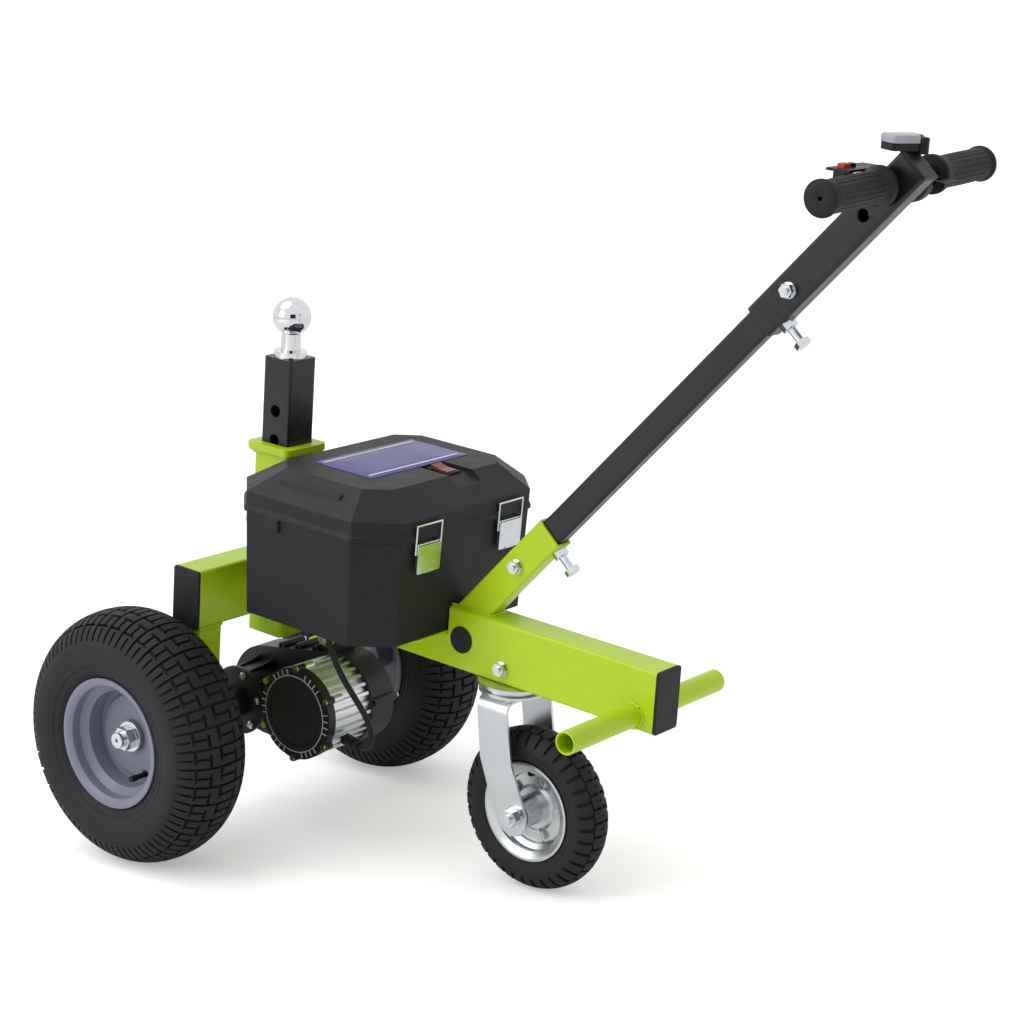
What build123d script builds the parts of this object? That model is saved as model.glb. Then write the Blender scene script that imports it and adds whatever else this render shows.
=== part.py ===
from build123d import *
import math
import os

os.makedirs("parts", exist_ok=True)

# Electric trailer dolly, in millimetres. Pieces are drawn on a level frame: +X towards the handle,
# +Z up, the drive axle across the origin's plane at the height of the tyre's radius. The finished
# pieces are then turned about the axle to the slight nose-down pitch at which the dolly stands.

# Clearances between pieces
fit_gap = 0.05
slip_gap = 0.4
weld_gap = 0.1

# Drive wheels
tyre_radius = 165.0
tyre_width = 115.0
track = 465.0
tread_height = 5.0
drive_lugs = 40
rim_lip_radius = 84.4
rim_lip_offset = 49.7
bead_radius = 76.0
rim_sheet = 3.0
rim_disc_offset = 5.0
rim_step_radius = 56.0
hub_radius = 21.0
hub_nose = 13.0
valve_length = 34.0
valve_radius = 4.0

# Axle, axle tubes and bearings
shaft_radius = 10.0
shaft_nut_width = 27.0
shaft_nut_height = 13.0
shaft_tail = 8.0
axle_tube_radius = 22.0
bearing_radius = 20.0
bearing_width = 12.0

# Caster
caster_radius = 103.0
caster_width = 54.6
caster_lugs = 36
caster_x = 420.0
caster_trail = 50.6
caster_axle_z = 146.35
caster_lip_radius = 63.0
caster_lip_offset = 23.8
caster_bead_radius = 54.0
caster_hub_radius = 19.0
swivel_radius = 43.0
swivel_height = 9.0
fork_sheet = 4.0
shoulder_radius = 12.0
fork_gap = 14.4
fork_top_width = 46.0
fork_foot_width = 30.0
caster_bolt_radius = 6.0
stem_radius = 10.0
stem_length = 55.0

# Frame tubes
spine_width = 46.0
spine_bottom = 298.7
spine_top = 376.6
spine_front = 651.5
step_x = 332.0
step_drop = 35.5
tube_wall = 3.0
tube_corner = 4.0
beam_depth = 46.0
beam_x = 12.8
beam_half_length = 167.5
leg_width = 41.0
leg_foot = 42.0
axle_plate_half = 44.0
cap_thickness = 4.0
foot_bar_x = 617.5
foot_bar_z = 315.5
foot_bar_radius = 14.1
foot_bar_wall = 2.5
foot_bar_half_length = 152.9
plug_x = 354.0
plug_z = 338.4
plug_radius = 17.0

# Receiver, ball post and tow ball
post_x = 20.65
post_width = 48.4
post_wall = 4.0
post_top = 634.5
post_bottom = 345.0
post_hole_radius = 8.25
post_hole_drops = (70.4, 110.1)
receiver_wall = 4.9
receiver_bottom = 260.0
collar_top = 519.75
collar_height = 13.0
collar_width = 76.0
clamp_z = 402.0
ball_radius = 25.4
ball_z = 687.4
ball_neck_radius = 13.0
ball_flange_radius = 22.0
ball_flange_height = 8.0
ball_shank_radius = 9.5
post_raise = 40.0
post_lower = 80.0

# Handle
handle_x = 414.4
handle_z = 437.55
handle_angle = 49.07
handle_wall = 3.0
lower_width = 20.0
lower_depth = 34.0
socket_mouth = 85.3
lower_start = -62.0
upper_start = 490.7
upper_end = 750.0
lap = 90.0
handle_play = 0.5
socket_bolt_at = 16.0
upper_bolt_at = 546.8
socket_screw_at = 72.4
upper_screw_at = 512.5
plug_at = 671.7
bolt_radius = 4.5
screw_radius = 5.0
bar_at = 715.0
bar_offset = 6.6
bar_tilt = 2.2
bar_radius = 11.0
bar_wall = 2.0
near_grip_end = -144.5
near_grip_length = 121.0
far_grip_end = 197.0
far_grip_length = 116.0
grip_radius = 17.5
grip_flange_radius = 20.0

# Controls
control_length = 42.0
control_depth = 25.0
control_cover = 8.5
control_turn = -25.0
knob_radius = 6.0
drum_radius = 25.0
drum_start = 30.0
drum_width = 18.0
lever_ring_width = 7.0
lever_reach = 36.0
lever_paddle = 30.0
switch_plate_x = 832.0
switch_plate_depth = 28.0
switch_plate_z = 994.0
switch_plate_reach = 61.0
button_y = -45.0
button_travel = 2.0

# Battery box
box_back = 69.0
box_front = 335.0
box_half_width = 167.5
box_chamfer = 45.4
box_draft = 5.8
box_bottom = 344.4
box_split = 477.0
band_top = 502.8
lid_top = 533.0
lid_bevel_back = 49.0
lid_bevel_front = 39.0
lid_bevel_side = 39.5
lid_chamfer = 26.4
box_wall = 3.0
lip_height = 8.0
lid_travel = 160.0
tray_half_width = 80.0
tray_thickness = 3.0
battery_length = 181.0
battery_width = 77.0
battery_height = 166.0
battery_x = 130.0
controller_size = (38.0, 110.0, 60.0)
recess_x = 268.0
recess_y = 27.0
recess_length = 44.0
recess_width = 46.0
recess_depth = 5.0
pocket_ramp = 314.0
ramp_slope = 0.35
rocker_length = 28.0
rocker_width = 18.0
rocker_height = 9.0
bezel_rim = 3.0

# Latches
latch_y = 79.0
latch_plate_width = 43.0
latch_plate_height = 36.0
latch_pivot_z = 471.0
latch_pivot_out = 3.3
latch_plate_out = 6.0
latch_sheet = 1.5
latch_pin_radius = 1.5
bail_drop = 10.0
bail_top = 496.5
bail_wire = 1.2

# Motor and gears
motor_bearing_rise = 10.9
motor_core_radius = 55.0
motor_fin_height = 5.0
motor_fins = 30
motor_near = -66.0
motor_cap_depth = 14.0
motor_cap_radius = 61.0
motor_lug_radius = 66.0
motor_face_radius = 51.0
motor_wall = 5.0
magnet_thickness = 9.0
rotor_radius = 39.0
rotor_length = 46.0
rotor_shaft_radius = 6.0
gear_module = 2.0
pinion_teeth = 14
idler_teeth = 50
idler_pinion_teeth = 16
output_teeth = 52
case_near = 3.0
case_wall = 4.0
slow_gear_width = 16.0
fast_gear_width = 12.0
gear_gap = 3.0
cage_radius = 34.0
cage_wall = 5.0
cage_length = 52.0
bell_gap = 4.0
bevel_small = 9.0
bevel_large = 19.0

# Motor lead: a flexible tube that hangs between the battery box and the motor
lead_radius = 4.0
lead_points = [(190.0, -92.0, 343.8), (190.0, -92.0, 322.0), (196.0, -88.0, 297.0), (210.0, -84.0, 268.0),
               (230.0, -77.0, 240.0), (243.0, -69.0, 218.0), (249.0, -62.0, 195.0), (244.0, -57.0, 175.0),
               (227.0, -50.0, 161.5), (205.0, -44.0, 161.0)]


def block(x0, x1, y0, y1, z0, z1):
    """Box between two corners."""
    return Pos((x0 + x1) / 2, (y0 + y1) / 2, (z0 + z1) / 2) * Box(x1 - x0, y1 - y0, z1 - z0)


def rod_y(radius, y0, y1, x=0.0, z=0.0):
    """Cylinder along Y."""
    return Pos(x, (y0 + y1) / 2, z) * Rot(90, 0, 0) * Cylinder(radius, y1 - y0)


def rod_z(radius, z0, z1, x=0.0, y=0.0):
    """Cylinder along Z."""
    return Pos(x, y, (z0 + z1) / 2) * Cylinder(radius, z1 - z0)


def rod_x(radius, x0, x1, y=0.0, z=0.0):
    """Cylinder along X."""
    return Pos((x0 + x1) / 2, y, z) * Rot(0, 90, 0) * Cylinder(radius, x1 - x0)


def turned(points, x=0.0, y=0.0, z=0.0):
    """Solid of revolution about an axis along Y, from (radius, place along Y) points."""
    face = make_face(Polyline(*points, close=True))
    return Pos(x, y, z) * revolve(face, Axis.Y, 360)


def side_plate(points, y0, y1):
    """Outline of (x, z) points, as thick as y0 to y1."""
    plane = Plane(origin=(0, y1, 0), x_dir=(1, 0, 0), z_dir=(0, -1, 0))
    return extrude(plane * make_face(Polyline(*points, close=True)), amount=y1 - y0)


def tube_section(width, height, wall, corner):
    """Face of a box tube's cross-section with rounded corners."""
    inner_corner = max(corner - wall, 0.5)
    inner = RectangleRounded(width - 2 * wall, height - 2 * wall, inner_corner)
    return RectangleRounded(width, height, corner) - inner


def hexagon_y(across, y0, y1, x, z):
    """Hexagonal prism along Y, for heads and nuts."""
    plane = Plane(origin=(x, y1, z), x_dir=(1, 0, 0), z_dir=(0, -1, 0))
    return extrude(plane * RegularPolygon(across / math.sqrt(3), 6), amount=y1 - y0)


def nut_stack(radius, face_y, outward, x, z):
    """Washer, nut and bolt end standing out of a face, outward is 1 or -1 along Y."""
    washer = 1.6
    nut = 1.6 * radius
    tail = 0.6 * radius
    stations = [face_y, face_y + outward * washer, face_y + outward * (washer + nut)]
    end = face_y + outward * (washer + nut + tail)
    flat = rod_y(2.1 * radius, *sorted(stations[:2]), x, z)
    hexagon = hexagon_y(3.3 * radius, *sorted(stations[1:]), x, z)
    stub = rod_y(radius, *sorted([face_y, end]), x, z)
    return flat + hexagon + stub


def through_bolt(radius, half_width, x, z):
    """Bolt across a tube along Y, with a washer and a hexagon at each end."""
    shank = rod_y(radius, -half_width, half_width, x, z)
    return shank + nut_stack(radius, -half_width, -1, x, z) + nut_stack(radius, half_width, 1, x, z)


# Places worked out from the sizes above
half_track = track / 2
caster_axle_x = caster_x + caster_trail
axle_to_caster = math.hypot(caster_axle_x, tyre_radius - caster_axle_z)
pitch = math.degrees(math.asin((tyre_radius - caster_radius) / axle_to_caster)
                     - math.atan2(tyre_radius - caster_axle_z, caster_axle_x))
slope = math.radians(handle_angle)
handle_plane = Plane(origin=(handle_x, 0, handle_z), x_dir=(0, 1, 0),
                     z_dir=(math.cos(slope), 0, math.sin(slope)))
seat_z = spine_top - step_drop
beam_back = beam_x - beam_depth / 2
beam_front = beam_x + beam_depth / 2
leg_outer = beam_half_length - cap_thickness
leg_inner = leg_outer - leg_width
receiver_width = post_width + 2 * receiver_wall + 2 * slip_gap
receiver_front = post_x + receiver_width / 2
socket_width = lower_width + 2 * handle_wall + 2 * handle_play
socket_depth = lower_depth + 2 * handle_wall + 2 * handle_play
upper_width = socket_width
upper_depth = socket_depth


def on_handle(along, above=0.0):
    """Level-frame X and Z of a place along the handle and above its centre line."""
    x = handle_x + along * math.cos(slope) - above * math.sin(slope)
    z = handle_z + along * math.sin(slope) + above * math.cos(slope)
    return x, z


def box_inset(z):
    """How far the drafted wall of the battery box lies inside the lid's band at a height."""
    return box_draft * (band_top - z) / (band_top - box_bottom)


def octagon(z, inset, back=box_back, front=box_front, half_width=box_half_width, chamfer=box_chamfer):
    """Face with cut corners at a height, drawn in all round by the inset."""
    x0, x1, y1 = back + inset, front - inset, half_width - inset
    c = chamfer - inset * (2 - math.sqrt(2))
    points = [(x0 + c, -y1), (x1 - c, -y1), (x1, -y1 + c), (x1, y1 - c),
              (x1 - c, y1), (x0 + c, y1), (x0, y1 - c), (x0, -y1 + c)]
    return Pos(0, 0, z) * make_face(Polyline(*points, close=True))


def prism(face, height):
    """Upright extrusion of a level face."""
    return extrude(face, amount=height, dir=(0, 0, 1))


# Spine: a box tube, cut lower behind the step where the battery box sits
def make_spine():
    back = receiver_front + weld_gap
    front = spine_front - cap_thickness
    half = spine_width / 2
    outline = [(back, spine_bottom), (front, spine_bottom), (front, spine_top),
               (step_x, spine_top), (step_x, seat_z), (back, seat_z)]
    shell = side_plate(outline, -half, half)
    shell = fillet(shell.edges().filter_by(Axis.X), tube_corner)
    w = tube_wall
    bore = [(back - 1, spine_bottom + w), (front + 1, spine_bottom + w), (front + 1, spine_top - w),
            (step_x + w, spine_top - w), (step_x + w, seat_z - w), (back - 1, seat_z - w)]
    shell -= side_plate(bore, -half + w, half - w)
    holes = [rod_y(foot_bar_radius + weld_gap, -half - 1, half + 1, foot_bar_x, foot_bar_z),
             rod_y(plug_radius - 2, -half - 1, half + 1, plug_x, plug_z),
             rod_y(bolt_radius + slip_gap, -half - 1, half + 1, caster_x, caster_bolt_z),
             rod_z(stem_radius + slip_gap, spine_bottom - 1, spine_bottom + w + 1, caster_x)]
    return shell - holes


caster_bolt_z = spine_bottom + 20.1
spine_tube = make_spine()


# Cross-beam: two box tubes welded to the sides of the receiver
def make_beam_half(side):
    inner = receiver_width / 2 + weld_gap
    outer = beam_half_length - cap_thickness
    section = tube_section(beam_depth, spine_top - spine_bottom, tube_wall, tube_corner)
    plane = Plane(origin=(beam_x, side * inner, (spine_top + spine_bottom) / 2), x_dir=(1, 0, 0),
                  z_dir=(0, side, 0))
    return extrude(plane * section, amount=outer - inner)


cross_beam = Part() + [make_beam_half(side) for side in (-1, 1)]


# Legs: box tubes from the beam's ends down to the axle, each with a plate round the axle tube
def make_leg(side):
    height = spine_bottom - weld_gap - (tyre_radius - leg_foot)
    middle = side * (leg_outer + leg_inner) / 2
    plane = Plane(origin=(beam_x, middle, tyre_radius - leg_foot), x_dir=(1, 0, 0), z_dir=(0, 0, 1))
    leg = extrude(plane * tube_section(beam_depth, leg_width, tube_wall, tube_corner), amount=height)
    y0, y1 = sorted([side * leg_inner, side * (leg_inner - 6)])
    plate = block(beam_back - 22, beam_front + 4, y0, y1, tyre_radius - axle_plate_half, tyre_radius
                  + axle_plate_half)
    plate = fillet(plate.edges().filter_by(Axis.Y), 10)
    hole = rod_y(axle_tube_radius + slip_gap, *sorted([side * (leg_inner - 10), side * (leg_outer + 10)]), 0,
                 tyre_radius)
    return leg + plate - hole


axle_legs = Part() + [make_leg(side) for side in (-1, 1)]


# Receiver: upright square tube with a collar, and the weld nut of its clamp screw at the back
def make_receiver():
    bore = post_width + 2 * slip_gap
    tube = extrude(Pos(post_x, 0, receiver_bottom) * RectangleRounded(receiver_width, receiver_width,
                                                                      tube_corner), amount=collar_top
                   - receiver_bottom)
    collar = extrude(Pos(post_x, 0, collar_top - collar_height) * RectangleRounded(collar_width,
                                                                                   collar_width, 8),
                     amount=collar_height)
    collar = chamfer(collar.edges().group_by(Axis.Z)[0], 4)
    hole = extrude(Pos(post_x, 0, receiver_bottom - 1) * RectangleRounded(bore, bore, tube_corner),
                   amount=collar_top - receiver_bottom + 2)
    screw_hole = rod_x(screw_radius + slip_gap, post_x - receiver_width, post_x, 0, clamp_z)
    return tube + collar - hole - screw_hole


receiver_tube = make_receiver()

# Foot bar: a round tube through the front of the spine
foot_bar = (rod_y(foot_bar_radius, -foot_bar_half_length, foot_bar_half_length, foot_bar_x, foot_bar_z)
            - rod_y(foot_bar_radius - foot_bar_wall, -foot_bar_half_length - 1, foot_bar_half_length + 1,
                    foot_bar_x, foot_bar_z))


# End caps of the spine and of the beam, each a head with a plug inside the tube
def make_caps():
    height = spine_top - spine_bottom
    z = (spine_top + spine_bottom) / 2
    spine_plane = Plane(origin=(spine_front - cap_thickness, 0, z), x_dir=(0, 1, 0), z_dir=(1, 0, 0))
    caps = [cap(spine_plane, spine_width, height)]
    for side in (-1, 1):
        plane = Plane(origin=(beam_x, side * (beam_half_length - cap_thickness), z), x_dir=(1, 0, 0),
                      z_dir=(0, side, 0))
        caps.append(cap(plane, beam_depth, height))
    return Part() + caps


def cap(plane, width, height):
    """Cap over a tube's end: the plane lies on the end and looks outwards."""
    inside = 2 * (tube_wall + slip_gap)
    head = extrude(plane * RectangleRounded(width, height, tube_corner), amount=cap_thickness)
    plug = extrude(plane * RectangleRounded(width - inside, height - inside, 1.5), amount=-12)
    return head + plug


end_caps = make_caps()

# Round plugs in the spine's sides
hole_plugs = Part() + [rod_y(plug_radius, *sorted([side * spine_width / 2, side * (spine_width / 2 + 2)]),
                             plug_x, plug_z) + rod_y(plug_radius - 2
                                                     - slip_gap, *sorted([side * spine_width / 2,
                                                                          side * (spine_width / 2 - 6)]),
                                                     plug_x, plug_z) for side in (-1, 1)]


# Handle socket: a box tube that stands slanting on the spine
def make_socket():
    tube = extrude(handle_plane.offset(lower_start - 60) * tube_section(socket_width, socket_depth,
                                                                        handle_wall, tube_corner),
                   amount=socket_mouth - lower_start + 60)
    x, z = on_handle(socket_bolt_at)
    tube -= rod_y(bolt_radius + slip_gap, -socket_width, socket_width, x, z)
    tube -= screw_hole(socket_screw_at, socket_depth)
    return tube - block(0, spine_front, -60, 60, 0, spine_top + weld_gap)


def screw_plane(along, depth):
    """Plane on the underside of a handle tube, looking away from it."""
    x, z = on_handle(along, -depth / 2)
    return Plane(origin=(x, 0, z), x_dir=(0, 1, 0), z_dir=(math.sin(slope), 0, -math.cos(slope)))


def screw_hole(along, depth):
    """Hole through the underside of a handle tube for a clamp screw."""
    return screw_plane(along, depth).offset(-handle_wall - 2).location * rod_z(screw_radius + slip_gap, 0,
                                                                               handle_wall + 4)


handle_socket = make_socket()


def on_bar(shape):
    """Moves a shape drawn about the Y axis onto the slightly tilted handlebar."""
    return Pos(bar_x, 0, bar_z) * Rot(bar_tilt, 0, 0) * shape


# Lower and upper handle tubes, the upper one over the lower one
lower_end = upper_start + lap
socket_bolt_x, socket_bolt_z = on_handle(socket_bolt_at)
upper_bolt_x, upper_bolt_z = on_handle(upper_bolt_at)
bar_x, bar_z = on_handle(bar_at, bar_offset)
plug_handle_x, plug_handle_z = on_handle(plug_at)
handle_lower_tube = extrude(handle_plane.offset(lower_start) * tube_section(lower_width, lower_depth, 2,
                                                                            tube_corner), amount=lower_end
                            - lower_start)
handle_lower_tube -= [rod_y(bolt_radius + slip_gap, -lower_width, lower_width, socket_bolt_x, socket_bolt_z),
                      rod_y(bolt_radius + slip_gap, -lower_width, lower_width, upper_bolt_x, upper_bolt_z)]
handle_upper_tube = extrude(handle_plane.offset(upper_start) * tube_section(upper_width, upper_depth,
                                                                            handle_wall, tube_corner),
                            amount=upper_end - upper_start)
handle_upper_tube -= [rod_y(bolt_radius + slip_gap, -upper_width, upper_width, upper_bolt_x, upper_bolt_z),
                      on_bar(rod_y(bar_radius + weld_gap, -upper_width, upper_width)),
                      rod_y(bolt_radius + 3, -upper_width, upper_width, plug_handle_x, plug_handle_z),
                      screw_hole(upper_screw_at, upper_depth)]

# Handlebar and grips
handlebar = on_bar(rod_y(bar_radius, near_grip_end + 4, far_grip_end - 4)
                   - rod_y(bar_radius - bar_wall, near_grip_end, far_grip_end))


def make_grip(length, hole_radius):
    """Grip along Y with its closed end at zero: end disc, slightly full body and an inner flange."""
    bore = bar_radius + fit_gap
    points = [(hole_radius, 0), (grip_flange_radius - 1.5, 0), (grip_flange_radius, 2),
              (grip_flange_radius, 5), (grip_radius, 8), (grip_radius + 0.8, length * 0.35),
              (grip_radius + 0.8, length * 0.6), (grip_radius, length - 14),
              (grip_flange_radius, length - 9), (grip_flange_radius + 1, length - 4),
              (grip_flange_radius, length), (bore, length), (bore, 4), (hole_radius, 4)]
    return turned(points)


grips = Part() + [on_bar(Pos(0, near_grip_end, 0) * make_grip(near_grip_length, 2.5)),
                  on_bar(Pos(0, far_grip_end, 0) * Rot(0, 0, 180) * make_grip(far_grip_length, 2.5))]


# Control housing: a plug in the end of the upper tube that carries a small turned box, and a knob.
# A pale cover closes the box.
def make_control():
    half = upper_depth / 2
    end = upper_end + slip_gap
    face = [on_handle(end, half), on_handle(end, -half), on_handle(end + 4, -half), on_handle(end + 4, half)]
    body = side_plate(face, -upper_width / 2, upper_width / 2)
    low, high = handle_wall + 1.5 - half, half - handle_wall - 1.5
    neck = [on_handle(end - 12, high), on_handle(end - 12, low), on_handle(end + 1, low),
            on_handle(end + 1, high)]
    body += side_plate(neck, handle_wall + 1.5 - upper_width / 2, upper_width / 2 - handle_wall - 1.5)
    back_x, back_z = on_handle(end, half)
    foot, seat = back_z + 0.6, back_z + 9
    turned_box = Pos(back_x - 4, -1, 0) * Rot(0, 0, control_turn)
    base = block(-control_depth / 2, control_depth / 2, -control_length / 2, control_length / 2, foot, seat)
    body += turned_box * fillet(base.edges().filter_by(Axis.Z), 4)
    rim = 1.0
    cover = block(-control_depth / 2 - rim, control_depth / 2 + rim, -control_length / 2 - rim,
                  control_length / 2 + rim, seat + fit_gap, seat + control_cover)
    cover = fillet(cover.edges().filter_by(Axis.Z), 5)
    cover = fillet(cover.edges().group_by(Axis.Z)[-1], 3)
    knob_x, knob_y = control_depth / 2 - 1, control_length / 2 - 3
    cover -= rod_z(knob_radius + slip_gap, seat - 1, seat + control_cover + 1, knob_x, knob_y)
    knob = rod_z(knob_radius, foot - 3, seat + control_cover - 2, knob_x, knob_y)
    knob = fillet(knob.edges().group_by(Axis.Z)[-1], 2)
    return body + turned_box * knob, turned_box * cover


control_housing, control_cover_plate = make_control()

# Throttle: a drum on the handlebar with a thumb lever beside it
drum_end = drum_start + drum_width
bar_bore = bar_radius + fit_gap
throttle_housing = turned([(bar_bore, drum_start), (drum_radius - 3, drum_start),
                           (drum_radius, drum_start + 3), (drum_radius, drum_end - 3),
                           (drum_radius - 3, drum_end), (bar_bore, drum_end)])
throttle_housing += rod_y(bar_radius + 6, upper_width / 2 + 1.5, drum_start + 1)
throttle_housing = on_bar(throttle_housing - rod_y(bar_bore, 0, drum_end + 1))


def make_throttle_lever():
    start = drum_end + slip_gap
    end = start + lever_ring_width
    ring = rod_y(bar_radius + 6.5, start, end) - rod_y(bar_radius + fit_gap, start - 1, end + 1)
    arm = block(bar_radius + 2, lever_reach, start, end, -2.5, 2.5)
    paddle = block(lever_reach - 12, lever_reach, start, start + lever_paddle, -2.5, 2.5)
    paddle = fillet(paddle.edges().filter_by(Axis.Y), 1.5)
    lever = ring + arm + paddle - rod_y(bar_radius + fit_gap, start - 1, end + 1)
    return on_bar(Rot(0, lever_rest_angle, 0) * lever)


lever_rest_angle = 6.0
throttle_lever = make_throttle_lever()

# Switch plate behind the near grip, with a push button and a toggle
plate_x1 = switch_plate_x + switch_plate_depth
switch_plate = block(switch_plate_x, plate_x1, -switch_plate_reach, 14, switch_plate_z, switch_plate_z + 3)
button_x = switch_plate_x + 12
switch_plate += block(button_x - 7, button_x + 7, button_y - 9, button_y + 9, switch_plate_z - 8,
                      switch_plate_z)
foot_z = on_handle(bar_at - 6, upper_depth / 2 + weld_gap)[1]
foot_plane = handle_plane.offset(bar_at - 4)
switch_plate += (block(plate_x1 - 14, plate_x1, -12, 12, foot_z - 30, switch_plate_z)
                - foot_plane.location * Box(60, upper_depth + 2 * weld_gap, 200))
switch_plate += rod_z(4.5, switch_plate_z + 2, switch_plate_z + 7, button_x, button_y + 16)
switch_plate -= block(button_x - 5, button_x + 5, button_y - 7, button_y + 7, switch_plate_z - 6,
                      switch_plate_z + 4)
stop_button = block(button_x - 5 + slip_gap, button_x + 5 - slip_gap, button_y - 7 + slip_gap, button_y + 7
                    - slip_gap, switch_plate_z - 6 + slip_gap + button_travel, switch_plate_z + 8)
stop_button = fillet(stop_button.edges().group_by(Axis.Z)[-1], 1.5)


# Tyres, drawn about the origin with the outer side towards -Y
def ring_outline(outer, inner):
    """Closed outline from the half outlines of the outer and the inner surface, both from the bead up."""
    points = list(outer) + [(r, -y) for r, y in reversed(outer)]
    return points + [(r, -y) for r, y in inner] + [(r, y) for r, y in reversed(inner)]


def tread_row(radius, root, y0, y1, lugs, share, phase):
    """Ring of lugs between two places along Y, share is the lug's part of the pitch."""
    step = 360 / lugs
    points = []
    for i in range(lugs):
        middle = math.radians(-90 + step * (i + phase))
        half = math.radians(step * share / 2)
        gap = math.radians(step / 2)
        for r, a in [(root, -gap), (root, -half), (radius, -half), (radius, 0), (radius, half),
                     (root, half)]:
            points.append((r * math.cos(middle + a), r * math.sin(middle + a)))
    plane = Plane(origin=(0, y1, 0), x_dir=(1, 0, 0), z_dir=(0, -1, 0))
    ring = make_face(Polyline(*points, close=True)) - Circle(root - 2)
    return extrude(plane * ring, amount=y1 - y0)


def make_drive_tyre():
    base = tyre_radius - tread_height
    half = tyre_width / 2
    outer = [(bead_radius + 0.3, 42.8), (bead_radius + 2.8, 45.2), (rim_lip_radius + 0.6, 46.4),
             (rim_lip_radius + 2.6, 50), (95, 54), (108, half - 0.8), (120, half), (132, half - 2.2),
             (140, half - 6.5), (147, 46), (153, 38), (157, 29), (base - 1, 18), (base, 8)]
    inner = [(bead_radius + 0.3, 31.5), (84, 33), (90, 42), (100, 46), (115, 49), (128, 47.5), (138, 41),
             (147, 28), (151, 14)]
    tyre = turned(ring_outline(outer, inner))
    rows = [(tyre_radius, base - 1, -9, 9, 0.62, 0.0), (tyre_radius - 1.6, base - 3, 12, 24, 0.62, 0.5),
            (tyre_radius - 6, base - 8, 28, 36, 0.58, 0.0), (tyre_radius - 13, base - 15, 39, 46, 0.5, 0.5)]
    for radius, root, y0, y1, share, phase in rows:
        tyre += tread_row(radius, root, y0, y1, drive_lugs, share, phase)
        if y0 > 0:
            tyre += tread_row(radius, root, -y1, -y0, drive_lugs, share, phase)
    return tyre



def make_caster_tyre():
    base = caster_radius - 3.5
    half = caster_width / 2
    outer = [(caster_bead_radius + 0.3, 18.2), (caster_bead_radius + 2.4, 20.2),
             (caster_lip_radius + 0.4, 21.4), (caster_lip_radius + 2.5, 23.6), (72, 26), (79, half),
             (86, half - 2), (91, half - 5.5), (96, 16), (base - 0.8, 9), (base, 5)]
    inner = [(caster_bead_radius + 0.3, 13), (60, 14), (66, 18), (74, 21.5), (82, 21.5), (89, 17), (93, 9)]
    tyre = turned(ring_outline(outer, inner))
    rows = [(caster_radius, base - 1, -5, 5, 0.8, 0.0), (caster_radius - 2, base - 4, 7, 13, 0.7, 0.5),
            (caster_radius - 6.5, base - 9, 15.5, 21, 0.5, 0.0)]
    for radius, root, y0, y1, share, phase in rows:
        tyre += tread_row(radius, root, y0, y1, caster_lugs, share, phase)
        if y0 > 0:
            tyre += tread_row(radius, root, -y1, -y0, caster_lugs, share, phase)
    return tyre


# Drive rim: a barrel with two lips, a dished disc with a raised ring, and a hub sleeve
def make_drive_rim():
    lip, edge, seat, t = rim_lip_radius, rim_lip_offset, bead_radius, rim_sheet
    well = seat - 10
    outer = [(lip, edge), (lip, edge - t), (seat + 2.5, edge - 4), (seat, edge - 6), (seat, 31), (well, 24)]
    outer = outer + [(r, -y) for r, y in reversed(outer)]
    low = rim_disc_offset
    bore = shaft_radius + fit_gap
    inner_left = [(lip - 3, -edge), (lip - 7.5, -edge + 1), (seat - t, -edge + 5), (seat - t, -32.5),
                  (well - t, -25.5)]
    inner_right = [(r, -y) for r, y in reversed(inner_left)]
    disc = [(well - t, low - 4), (rim_step_radius + 2, low - 4), (rim_step_radius - 2, low - 1),
            (hub_radius, low - 1), (hub_radius, -25), (bore, -25), (bore, hub_nose), (hub_radius, hub_nose),
            (hub_radius, low + 2), (rim_step_radius - 4, low + 2), (rim_step_radius, low - 1),
            (well - t, low - 1)]
    rim = Rot(0, 0, 180) * turned(outer + inner_left + disc + inner_right)
    valve_hole = rod_y(valve_radius + 1.5, -low - 5, -low + 7, valve_x, valve_z)
    return rim - valve_hole


valve_x = 20.0
valve_z = -48.0
drive_rim = make_drive_rim()
drive_valve = rod_y(valve_radius, -valve_length + 1.5, 1, valve_x, valve_z)
drive_valve += rod_y(valve_radius + 1, -6, -1, valve_x, valve_z)
drive_tyre = make_drive_tyre()

wheel_turn = Pos(0, 0, tyre_radius) * Rot(0, -pitch, 0)
left_place = Pos(0, -half_track, 0) * wheel_turn
right_place = Pos(0, half_track, 0) * wheel_turn * Rot(0, 0, 180)
left_tyre = left_place * drive_tyre + left_place * drive_valve
right_tyre = right_place * drive_tyre + right_place * drive_valve
left_rim = left_place * drive_rim
right_rim = right_place * drive_rim


# Half shafts: each with a side gear at its inner end and a washer and nut outside the hub
cage_near = case_near - bell_gap + 1 - cage_length + bell_gap + 2
cage_far = cage_near + cage_length + 2
cross_y = (cage_near + cage_wall + cage_far - cage_wall) / 2
shaft_tip = half_track + hub_nose + 1.6 + shaft_nut_height + shaft_tail


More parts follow.
